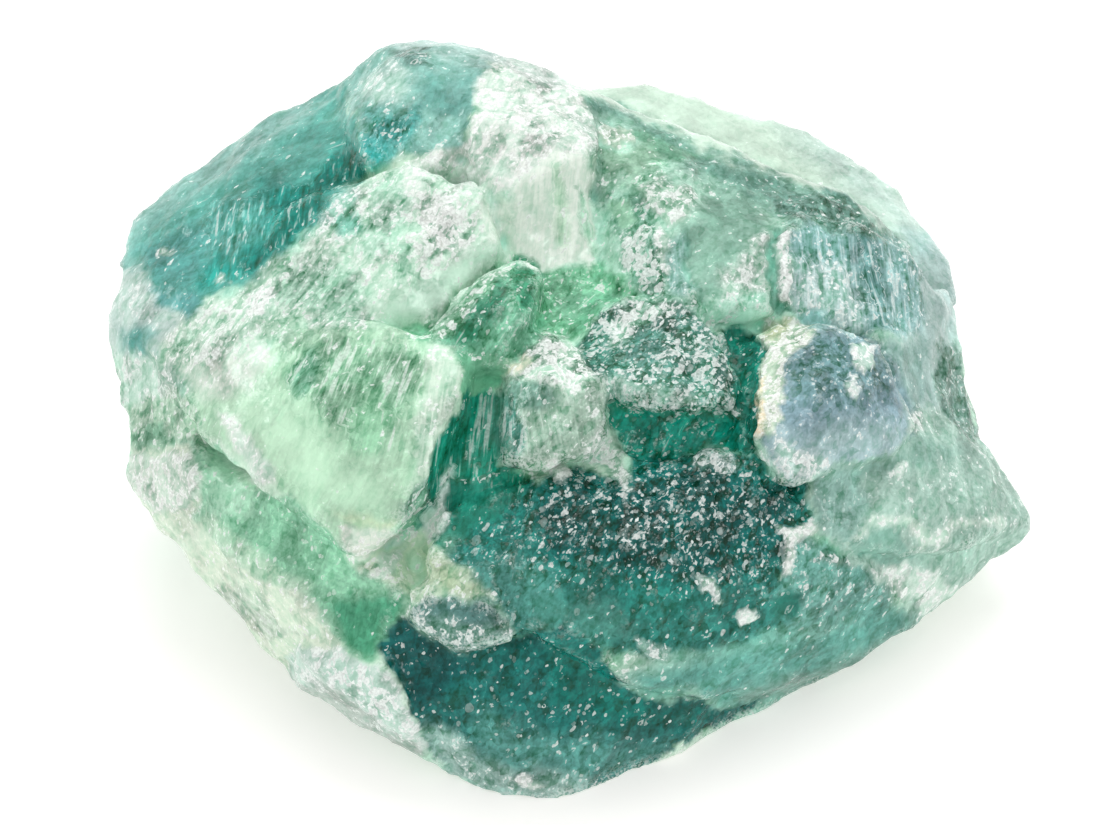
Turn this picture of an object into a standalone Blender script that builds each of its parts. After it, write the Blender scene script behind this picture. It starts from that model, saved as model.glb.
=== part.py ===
"""A rough, hand-sized chunk of green fluorite, broken on all sides, resting on one fracture face.

The stone is one piece. It is built the way it broke: as cleavage blocks, ledges and wedges
grown together. Each block is the convex hull of its own corners, and the blocks are fused,
worn, pitted and cut flat where the stone rests.

Corners are written as seen from one station in front of the stone: (across, up, near), in
millimetres, where across runs to the right, up runs up the view and near runs towards the
station. sight() turns them into places in the stone's own frame, +Z up.
"""

import math

import bmesh
import bpy
from mathutils import Vector, noise

MM = 0.001

# The station that the corners are seen from, and the height of the point it looks at
STATION_DISTANCE = 450.0
STATION_ELEVATION = math.radians(40.0)
SIGHT_HEIGHT = 24.7

# The point that every block grows out from, and the share of the way to it that a root reaches
HEART = Vector((0, 12, 12))
ROOT_SHARE = 0.5

# The fused surface: its grain, its wear and its triangle count
GRAIN = 0.55
WEAR_PASSES = 2
WEAR_SHARE = 0.35
MOST_TRIANGLES = 9400

# What the wear takes off all round, in millimetres, and the faces are raised by again
WEAR_DEPTH = 0.35
# Fracture relief: (size of the bumps, height), in millimetres
RELIEF = ((9.0, 0.55), (4.0, 0.32), (1.9, 0.18))
# Cleavage steps: the thickness of one cleavage sheet and how strongly it shows
SHEET = 1.7
SHEET_HEIGHT = 0.22
SHEET_LEAN = Vector((0.62, -0.35, 0.70)).normalized()

# The stone's mean colour
GREEN = (0.20, 0.50, 0.40, 1.0)

RIGHT = Vector((1, 0, 0))
UP = Vector((0, math.sin(STATION_ELEVATION), math.cos(STATION_ELEVATION)))
NEAR = Vector((0, -math.cos(STATION_ELEVATION), math.sin(STATION_ELEVATION)))

# The broken underside, as (x, y) corners where the stone meets the surface it rests on
UNDERSIDE = [
    (-6, -18.5), (2, -20.5), (8, -16.5), (16, -11), (27, -2.5), (34, 7),
    (31, 19), (21, 28), (1, 31), (-19, 28), (-28, 19), (-27, 6), (-18, -6),
]
UNDERSIDE_LEVEL = -0.35

# The middle of the stone, a little behind every face that is named below
CORE = [
    (-34.5, 11, -18), (-31, 16, -19), (-20, 23, -20), (-12, 28.5, -19), (-3, 27.5, -18),
    (8, 23, -19), (20, 17, -19), (29, 12, -20), (32, 4, -19),
    (-33, 3, -12), (-30, -5, -8), (-24, -12, -5), (-16, -18, -1), (-8, -15, 3),
    (4, -19, 2.6), (14, -19, 0), (24, -14, -4), (31, -6, -12),
    (-12, 3, 1), (-7, 0, 1.2), (-6, -6, 2.6), (3, -2, 0.2), (14, -2, -0.2), (16, 3, -3),
]

# The middle of the stone on the side turned away, as (x, y, z) corners
FAR_CORE = [
    (-29, 26, 21), (-20, 32, 24), (-6, 36, 24), (10, 38, 19), (24, 35, 16), (32, 27, 14),
    (-27, 26, 6), (-10, 35, 5), (8, 38, 4), (24, 32, 5), (33, 20, 5),
]

# Each block by name, with the corners of its face
BLOCKS = {
    "teal_shoulder": [
        (-36.3, 11, -17), (-35.9, 14, -19), (-34.8, 16.2, -21), (-29.5, 19.9, -23),
        (-22.6, 24.5, -24), (-16.8, 28.2, -22.5), (-32, 10, -12.5), (-28.5, 10.1, -10.8),
        (-22.5, 13.6, -9.2), (-19, 17, -9.8), (-16.2, 19.6, -10.6),
        (-30, 15.5, -14.4), (-21, 21, -14.6),
    ],
    "knob": [
        (-18, 27.2, -21), (-15, 30, -20), (-13, 30.8, -19.5), (-10, 31.1, -19),
        (-7.5, 30.6, -19), (-4.6, 29.7, -18.5), (-16.2, 24, -11.9), (-15.8, 20.6, -9.6),
        (-12, 21, -7.8), (-8, 22, -7.8), (-5.6, 25, -9.4), (-5.2, 28, -12.5),
        (-12, 28.5, -12.6),
    ],
    "white_cap": [
        (-6.4, 27.5, -12), (-6, 29.6, -17), (-3, 29.4, -17), (0.5, 27.8, -17),
        (3, 26.6, -17.5), (3.2, 24.5, -11.8), (4, 22, -8.2), (2.2, 21.7, -6.4),
        (0, 20.5, -5.6), (-4, 18.3, -4.6), (-7, 21.5, -6), (-6.6, 25, -8.2),
    ],
    "pale_panel": [
        (-3.6, 18.3, -6.4), (2.2, 21.5, -8), (3.6, 17, -8.8), (3.2, 12.6, -8.2),
        (-1, 12.2, -7), (-3, 13.2, -6.4),
    ],
    "frosted_band": [
        (-36.1, 11.5, -16.4), (-36.8, 8.2, -15.4), (-35.8, 5.4, -13.6), (-33, 5, -8.6),
        (-28, 9.9, -8.6), (-22, 13.5, -6.8), (-17, 18, -6.8), (-12, 20.6, -6.6),
        (-6, 19, -4.8), (-4, 14, -4.4), (-10, 8, -1.4), (-16, 8.5, 0), (-24, 7.5, -2),
    ],
    "mint_block": [
        (-33, 4, -8.6), (-27, 7, -3.6), (-22, 7, -0.6), (-15, 7.8, 1.4), (-11, 6.2, 3),
        (-8.2, 5.3, 3.4), (-7.5, 3.5, 4), (-7.6, 1, 5), (-8.9, -1.4, 6.4),
        (-10.2, -4.2, 7), (-12.1, -7.6, 7), (-14, -10.2, 6.2), (-16, -12, 5.2),
        (-18, -10, 5.2), (-21, -8, 4.2), (-24.5, -6, 2.4), (-27.5, -2.5, -0.4),
        (-30.5, 1, -4.4), (-18, 0, 6.4), (-14, -4, 7.8),
    ],
    "green_wedge": [
        (-2.8, 13.2, -2.6), (-6, 11.3, -1.2), (-9.9, 7, 1.2), (-9.6, 5.8, 2.4),
        (-7, 4, 2.8), (-4, 4, 3), (-2, 8, 1.6), (-0.8, 12, -2), (-4.5, 8.6, 2.8),
    ],
    "upper_right": [
        (2.6, 26.9, -18), (5, 25.9, -18), (8, 24.7, -18), (10, 23.8, -18),
        (12.5, 22.3, -17.5), (15, 21.5, -17.5), (18, 20.1, -17.5), (21, 19.1, -17.6),
        (24, 18.4, -18), (26, 17.1, -18.5), (28.5, 15.1, -19), (30.5, 13.5, -20),
        (4, 21, -10.8), (8, 19, -9.2), (12, 15.5, -7), (18.5, 14.5, -8.2),
        (6, 11, -5.6), (12, 9, -3.4), (18, 8.5, -4.6),
    ],
    "fluted_wall": [
        (19, 14.5, -8.2), (20.5, 16.3, -10.8), (26, 15.6, -13.3), (30, 13, -16.5),
        (32.9, 9, -19.5), (32.6, 6, -17), (28, 6.2, -9), (24, 6.8, -7.2), (20.4, 7.4, -6),
        (19.4, 11, -6.4),
    ],
    "right_flank": [
        (27.5, 6, -8.5), (32, 8, -17), (33.4, 10.5, -23), (33.8, 7.5, -22),
        (33.7, 4.5, -20), (31.5, -1, -10.8), (30.5, -1.6, -8.4), (28, 3, -7.2),
    ],
    "blue_block": [
        (18, 6.5, -4.2), (21.3, 6.9, -4.2), (24.6, 6.9, -4.6), (27.5, 5.6, -5.6),
        (30.6, -1.2, -6), (27.9, -3.5, -2.6), (24.2, -4.1, 0.4), (20, -5.9, 3),
        (17.4, -2.3, 3.4), (18.2, 1.5, 1.1), (19.8, 3.5, 0.5), (23, 0, 2),
    ],
    "sparkling_ledge": [
        (2, 6, -2.6), (4.2, 8.6, -4.2), (10.8, 9.4, -4.6), (13.8, 6.5, -2.2),
        (16.7, 1.2, 1.2), (12.5, 0.2, 3.4), (7.5, 0.8, 4), (3.3, 3.2, 1.6), (9, 4, 1.8),
    ],
    "tooth": [
        (-0.8, 6.5, 0.4), (4, 3.3, 1.8), (4.3, 2.2, 3.6), (4.7, -0.7, 4.6),
        (3.4, -3.1, 5.4), (-1.7, -4.4, 6), (-3.9, -3.8, 5.2), (-3.8, 2.2, 3.8),
        (0, 2.5, 5),
    ],
    "dark_slope": [
        (5, -4, 1.4), (16, -4, 1.4), (19, -6.5, 1.2), (22, -10, 0.2), (26, -13, -2.8),
        (30.4, -17.4, -11), (26, -20.2, -9), (20, -22.7, -8), (17, -23.6, -6.2),
        (14, -23.4, -0.8), (8, -23.2, 3.2), (5, -21, 5.4), (2, -18.5, 7.2),
        (-2, -17.9, 7.8), (-6, -15.4, 7.2), (-10, -13, 6.4), (-9, -9, 4.8),
        (-2, -6, 4.2), (8, -10, 6.2), (12, -15, 5.6), (20, -14, 2.2),
    ],
    "lip_flake": [
        (-11.6, -15.4, 6.2), (-9, -14.6, 7), (-6, -15.2, 7.8), (-3.4, -16.8, 7.8),
        (-2.8, -18.4, 7), (-6, -19.6, 6.4), (-9, -18.9, 6), (-11.2, -17.3, 5.8),
    ],
    "lower_front": [
        (-12.4, -15.6, 3.8), (-10, -18.5, 4.2), (-6, -19.6, 4.6), (2, -18.8, 4.2),
        (5, -21.2, 3), (8, -23.8, 1.2), (13, -24.4, -2), (17, -23.9, -6.4),
        (12, -26.6, -5.6), (6, -30, -2.4), (1, -32, 0), (-0.8, -32.3, 0.2),
        (-4, -31.3, -0.4), (-9, -29.6, -1.4), (-11, -27, -0.4), (-12.5, -23, 2),
        (-14.2, -19, 3), (-4, -24, 3.8),
    ],
    "green_facet": [
        (-29, -5, -4.4), (-24, -6.5, -0.4), (-18, -9.5, 2.8), (-16, -12.5, 3.6),
        (-13, -15, 4.6), (-12.3, -16.5, 4.6), (-14.2, -19, 3.2), (-17, -20, 1.4),
        (-19.5, -17, 1), (-23, -14, -0.8), (-27, -11, -3.8), (-29.5, -8, -5.8),
    ],
    "pale_rim": [
        (-30, -3, -5), (-29, -7.5, -4.6), (-26.5, -11.3, -2.4), (-20, -15.8, 1.8),
        (-17, -19.5, 2.6), (-34.6, -2.4, -12), (-34.8, -5, -12.6), (-33.6, -8, -12.6),
        (-32.4, -9.8, -12), (-30.6, -11.8, -11.4), (-28.6, -13.8, -10.6),
        (-27, -16, -9.8), (-25, -18, -8.8), (-23, -20.5, -7.8), (-21, -22.8, -6.6),
    ],
    "rim_chunk": [
        (-21, -19.5, 0), (-17, -19.8, 2.8), (-14, -21.2, 4.2), (-12.6, -23, 3.8),
        (-10.8, -26.3, 2), (-10.4, -27.8, 0), (-9.5, -29.4, -1.6), (-11, -28.6, -2),
        (-15, -26.2, -3.4), (-18, -24.7, -4.2), (-21.5, -22.9, -5.4), (-16, -23, 2.4),
    ],
    "left_notch": [
        (-34.6, -2.8, -12), (-35, 1, -12.8), (-35, 3.5, -13.4), (-36.4, 5.3, -15),
        (-36.9, 7.2, -16.4), (-36.8, 8.6, -17), (-31.5, 2.3, -7.6), (-29.7, 1.5, -6),
        (-29.6, -1.5, -5.2), (-31, -3, -7.2),
    ],
    "spur_upper": [
        (21.6, -5.4, 0.2), (22.5, -9.5, 1), (25, -11, -0.6), (28.5, -10, -3.2),
        (30.5, -12, -5), (33, -10.7, -7.6), (37, -9.8, -12.4), (40.5, -9.2, -18),
        (38.2, -6, -18), (36, -2.6, -18), (33, -1, -12.6), (30.5, -1.5, -8.4),
        (28, -4, -3.8), (24, -5, -1), (30, -7, -4.4),
    ],
    "spur_lower": [
        (22, -12, -2), (26, -12.2, -3.8), (31, -12.6, -7.8), (36, -11.2, -13.4),
        (40.4, -9.8, -18.8), (38.5, -11.6, -18), (36, -13, -16.4), (33, -14.8, -14.6),
        (31.2, -16.8, -13), (30, -18, -12), (28, -15, -7.4),
    ],
    "right_splinter": [
        (32.8, 7, -19), (33.9, 4.5, -20.6), (34.6, 1, -21), (35.9, -2, -20.6),
        (33.6, -1.8, -15), (32, 0, -12.8), (31.5, 3, -13),
    ],
    "rear_slab": [
        (2.6, 26.4, -29), (6, 27.2, -30.5), (9, 26.9, -31), (12, 26.3, -31.5),
        (16, 24.8, -32), (20, 23.7, -32.5), (24, 22.2, -33), (26.3, 20.3, -32.5),
        (29, 18.4, -32), (32, 14.5, -30), (33, 12.6, -28.5), (33.4, 10, -27),
        (33.7, 8.6, -26), (3, 24, -22), (15, 18, -22), (28, 12, -22),
    ],
}

# The blocks of the side turned away from the station, as (x, y, z) corners
FAR_BLOCKS = {
    "far_cleavage_wall": [
        (-15, 34, 33), (-3, 36, 31), (3, 39, 25), (5, 40, 14), (3, 39, 5),
        (-10, 36, 3), (-17, 34, 10), (-18, 33, 26),
    ],
    "far_left_step": [
        (-30, 25, 22), (-22, 31, 25), (-16, 36, 20), (-17, 37, 10), (-25, 31, 4),
        (-31, 22, 5), (-34, 20, 12), (-35, 19, 20),
    ],
    "far_right_wedge": [
        (7, 40, 24), (12, 42.5, 24.5), (22, 42, 22.5), (31, 37.5, 18), (35, 28, 15.5),
        (34, 23, 5), (28, 31, 2), (15, 37, 3), (9, 39, 9),
    ],
    "far_foot": [
        (-9, 38, 8), (2, 42, 9), (11, 43, 8), (17, 40, 6), (12, 37, 0.5),
        (-6, 35, 0.5), (0, 41, 3),
    ],
    "left_end": [
        (-36, 15, 14), (-36.5, 19, 17), (-34, 23, 14), (-31, 20, 4), (-30, 9, 3),
        (-33, 8, 7), (-34, 10, 13),
    ],
    "right_end": [
        (36, 11, 5), (39, 11, 7), (36, 20, 12), (34, 27, 9), (32, 22, 1.5), (32, 8, 1),
    ],
}

# Chips that broke out of the stone, as (x, y, z) corners
HOLLOWS = {
    "under_chip_left": [
        (-36, 0, -3), (-34, 24, -3), (-14, 18, -3), (-17, -2, -3), (-27, 9, 3.4),
        (-24, 13, 2.6),
    ],
    "under_chip_right": [
        (14, -16, -3), (38, 2, -3), (38, 16, -3), (18, 10, -3), (27, 3, 2.4),
    ],
    "under_chip_rear": [
        (-9, 38, -3), (14, 40, -3), (3, 17, -3), (2, 30, 2.8),
    ],
    "far_scoop": [
        (4, 48, 30), (11, 48, 22), (10, 48, 8), (3, 48, 10), (7, 37.5, 18),
        (6, 38.5, 11),
    ],
    "far_bite": [
        (-26, 42, 34), (-14, 46, 30), (-16, 46, 18), (-26, 38, 20), (-20, 32.5, 26),
    ],
}


def sight(across, up, near):
    """The place of a corner seen from the station, in metres."""
    widening = (STATION_DISTANCE - near) / STATION_DISTANCE
    place = RIGHT * (across * widening) + UP * (up * widening) + NEAR * near
    return (place + Vector((0, 0, SIGHT_HEIGHT))) * MM


def rooted(face):
    """A face's corners, with the narrower root that it grows from."""
    return face + [place.lerp(HEART * MM, ROOT_SHARE) for place in face]


def own_frame(corners):
    return [Vector(corner) * MM for corner in corners]


def stone_core():
    """The stone's middle, from its underside to just behind its faces."""
    under = own_frame((x, y, UNDERSIDE_LEVEL) for x, y in UNDERSIDE)
    return under + own_frame(FAR_CORE) + [sight(*corner) for corner in CORE]


def add_hull(bm, places):
    """Adds the convex hull of these places to a mesh, as a closed shape of its own."""
    hull = bmesh.new()
    for place in places:
        hull.verts.new(place)
    made = bmesh.ops.convex_hull(hull, input=hull.verts)
    spare = [v for v in made["geom_interior"] if isinstance(v, bmesh.types.BMVert)]
    bmesh.ops.delete(hull, geom=spare, context="VERTS")
    bmesh.ops.recalc_face_normals(hull, faces=hull.faces)
    mesh = bpy.data.meshes.new("hull")
    hull.to_mesh(mesh)
    hull.free()
    bm.from_mesh(mesh)
    bpy.data.meshes.remove(mesh)


def evaluated_mesh(obj):
    """The mesh that an object's modifiers make, as a mesh of its own."""
    graph = bpy.context.evaluated_depsgraph_get()
    return bpy.data.meshes.new_from_object(obj.evaluated_get(graph))


def apply_modifiers(obj):
    mesh = evaluated_mesh(obj)
    obj.modifiers.clear()
    obj.data = mesh


def mesh_of_hulls(name, hulls):
    """One mesh that holds the convex hull of each list of places."""
    bm = bmesh.new()
    for places in hulls:
        add_hull(bm, places)
    mesh = bpy.data.meshes.new(name)
    bm.to_mesh(mesh)
    bm.free()
    return mesh


def add_object(name, mesh):
    obj = bpy.data.objects.new(name, mesh)
    bpy.context.scene.collection.objects.link(obj)
    return obj


def add_fusing(obj):
    """Makes one closed surface, of even grain, around all that the object holds."""
    fused = obj.modifiers.new("fused", "REMESH")
    fused.mode = "VOXEL"
    fused.voxel_size = GRAIN * MM


def fuse_blocks(name):
    """The core and all blocks, fused into one closed surface, less the hollows."""
    hulls = [stone_core()]
    for corners in BLOCKS.values():
        hulls.append(rooted([sight(*corner) for corner in corners]))
    for corners in FAR_BLOCKS.values():
        hulls.append(rooted(own_frame(corners)))
    stone = add_object(name, mesh_of_hulls(name, hulls))
    add_fusing(stone)
    chips = []
    for hollow, corners in HOLLOWS.items():
        chip = add_object(hollow, mesh_of_hulls(hollow, [own_frame(corners)]))
        chip.hide_render = True
        chip.display_type = "WIRE"
        cut = stone.modifiers.new(hollow, "BOOLEAN")
        cut.operation = "DIFFERENCE"
        cut.object = chip
        chips.append(chip)
    add_fusing(stone)
    worn = stone.modifiers.new("worn", "SMOOTH")
    worn.iterations = WEAR_PASSES
    worn.factor = WEAR_SHARE
    apply_modifiers(stone)
    for chip in chips:
        bpy.data.objects.remove(chip)
    return stone


def fracture_height(place):
    """How far the broken surface stands out at a place, in millimetres."""
    height = WEAR_DEPTH
    for size, rise in RELIEF:
        height += rise * noise.noise(place / size)
    warp = noise.noise(place / 7.0 + Vector((5, 0, 0)))
    level = place.dot(SHEET_LEAN) / SHEET + 1.6 * warp
    return height + SHEET_HEIGHT * (level - math.floor(level) - 0.5)


def roughen(stone):
    """Moves the surface in and out along its normals by the fracture relief."""
    mesh = stone.data
    moves = [v.normal * fracture_height(v.co / MM) * MM for v in mesh.vertices]
    for vertex, move in zip(mesh.vertices, moves):
        vertex.co += move


def reduce_faces(stone):
    """Collapses the even grain to large flat faces and fine broken ones."""
    triangles = sum(len(face.vertices) - 2 for face in stone.data.polygons)
    fewer = stone.modifiers.new("fewer", "DECIMATE")
    fewer.ratio = min(1.0, MOST_TRIANGLES / triangles)
    fewer.use_collapse_triangulate = True
    apply_modifiers(stone)


def cut_underside(stone):
    """Cuts the stone off flat at the level that it rests on."""
    bm = bmesh.new()
    bm.from_mesh(stone.data)
    geometry = bm.verts[:] + bm.edges[:] + bm.faces[:]
    bmesh.ops.bisect_plane(
        bm, geom=geometry, dist=1e-7, plane_co=(0, 0, 0), plane_no=(0, 0, 1),
        clear_inner=True,
    )
    rims = [edge for edge in bm.edges if edge.is_boundary]
    bmesh.ops.triangle_fill(bm, edges=rims, use_beauty=True, normal=(0, 0, -1))
    bmesh.ops.recalc_face_normals(bm, faces=bm.faces)
    bm.to_mesh(stone.data)
    bm.free()


def centre_on_base(stone):
    """Moves the origin to the middle of the stone's box, at the level that it rests on."""
    places = [v.co for v in stone.data.vertices]
    middle = Vector(
        (min(p[axis] for p in places) + max(p[axis] for p in places)) / 2
        for axis in range(2)
    ).to_3d()
    for vertex in stone.data.vertices:
        vertex.co -= middle
    return middle


def fluorite_material():
    material = bpy.data.materials.new("fluorite")
    material.use_nodes = True
    shader = material.node_tree.nodes["Principled BSDF"]
    shader.inputs["Base Color"].default_value = GREEN
    shader.inputs["Roughness"].default_value = 0.35
    shader.inputs["IOR"].default_value = 1.434
    shader.inputs["Transmission Weight"].default_value = 0.5
    return material


def main():
    for obj in list(bpy.data.objects):
        bpy.data.objects.remove(obj)
    stone = fuse_blocks("fluorite")
    roughen(stone)
    reduce_faces(stone)
    cut_underside(stone)
    middle = centre_on_base(stone)
    print("origin moved by", [round(value / MM, 3) for value in middle], "mm")
    stone.data.materials.clear()
    stone.data.materials.append(fluorite_material())


main()
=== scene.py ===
"""A rough chunk of green fluorite on a pale table, lit softly from all around and from above.

The stone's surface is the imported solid's, made fine, broken up by fracture relief and coloured
patch by patch.

Places on the side towards the camera are written as (across, up), in millimetres on the plane
through the point the camera looks at: across runs to the right and up runs up the view.
"""

import itertools
import math

import bmesh
import bpy
import numpy as np
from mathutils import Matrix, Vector, noise
from mathutils.bvhtree import BVHTree
from mathutils.kdtree import KDTree


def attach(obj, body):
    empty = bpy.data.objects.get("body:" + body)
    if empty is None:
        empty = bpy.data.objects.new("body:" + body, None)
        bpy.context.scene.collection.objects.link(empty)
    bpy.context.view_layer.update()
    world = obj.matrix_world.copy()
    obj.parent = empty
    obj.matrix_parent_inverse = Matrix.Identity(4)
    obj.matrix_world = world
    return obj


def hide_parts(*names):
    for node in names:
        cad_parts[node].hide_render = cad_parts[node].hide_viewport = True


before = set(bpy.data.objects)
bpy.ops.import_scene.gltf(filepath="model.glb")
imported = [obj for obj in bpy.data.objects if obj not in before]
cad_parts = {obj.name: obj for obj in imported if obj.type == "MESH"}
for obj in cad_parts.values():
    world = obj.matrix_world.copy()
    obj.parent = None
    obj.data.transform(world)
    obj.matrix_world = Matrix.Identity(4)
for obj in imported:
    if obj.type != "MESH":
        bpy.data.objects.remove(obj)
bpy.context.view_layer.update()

MM = 0.001

# The camera: its distance and the point it looks at in millimetres, and its height above the horizon
CAMERA_DISTANCE = 450.0
CAMERA_ELEVATION = math.radians(40.0)
LOOKS_AT = Vector((-1.718, -11.092, 24.7))
# The width of what the picture shows at that point, and of the camera's sensor, in millimetres
PICTURE_WIDTH = 91.67
SENSOR_WIDTH = 36.0

# The table's side and the point above it that the lights face, in metres
TABLE_SIDE = 3.0
LIGHTS_FACE = Vector((0, 0, 0.02))

RIGHT = Vector((1, 0, 0))
UP = Vector((0, math.sin(CAMERA_ELEVATION), math.cos(CAMERA_ELEVATION)))
NEAR = Vector((0, -math.cos(CAMERA_ELEVATION), math.sin(CAMERA_ELEVATION)))

# The stone's surface: the size of one face before flat places are thinned out, the most faces
# after that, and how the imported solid's facets are softened
FACE_SIZE = 0.36
MOST_FACES = 192000
SOFTEN_PASSES = 1
SOFTEN_SHARE = 0.5
# Edges sharper than this stay sharp in the shading
SHARP_EDGE = math.radians(38)
# The height above the table over which the relief sets in, so that the foot stays flat
FOOT_HEIGHT = 0.6

# How much richer the colours are than they look under a white light's sheen, and how far
# the colours of shaded places are painted lighter, standing in for light that spreads inside
# the stone, from 0 for not at all to 1
RICHNESS = 1.03
PAINTED_LIGHT_LIFT = 0.8
# The light that reaches a place is worked out on faces of this size, with this many rays
LIGHT_FACE_SIZE = 1.3
LIGHT_RAYS = 60
# How bright the sky is, the table near the stone, which lies in its shade, and the stone itself
SKY_LIGHT = 1.0
TABLE_LIGHT = 0.75
STONE_LIGHT = 0.3
# The least light that the colours make up for, and the light under the foot
LEAST_LIGHT = 0.32
FOOT_LIGHT = 0.5
# The darkest and the brightest that a colour gets, as linear values
DARKEST = 0.0015
BRIGHTEST = 0.93


def zone(name, colour, outline, frost=0.15, clear=0.06, grit=0.1, lines=0.0, angle=80,
         blur=0.5, rise=0.0):
    """A patch of the side towards the camera.

    colour is red, green and blue from 0 to 255. frost is the share of the patch that is broken
    white, clear how much light it lets in, grit how dense its white specks are, and lines how
    strong its fine parallel lines are, at that angle from level. blur is the width of its edge
    and rise how far it stands out, in millimetres.
    """
    return dict(name=name, colour=colour, outline=outline, frost=frost, clear=clear,
                grit=grit, lines=lines, angle=angle, blur=blur, rise=rise)
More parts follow.
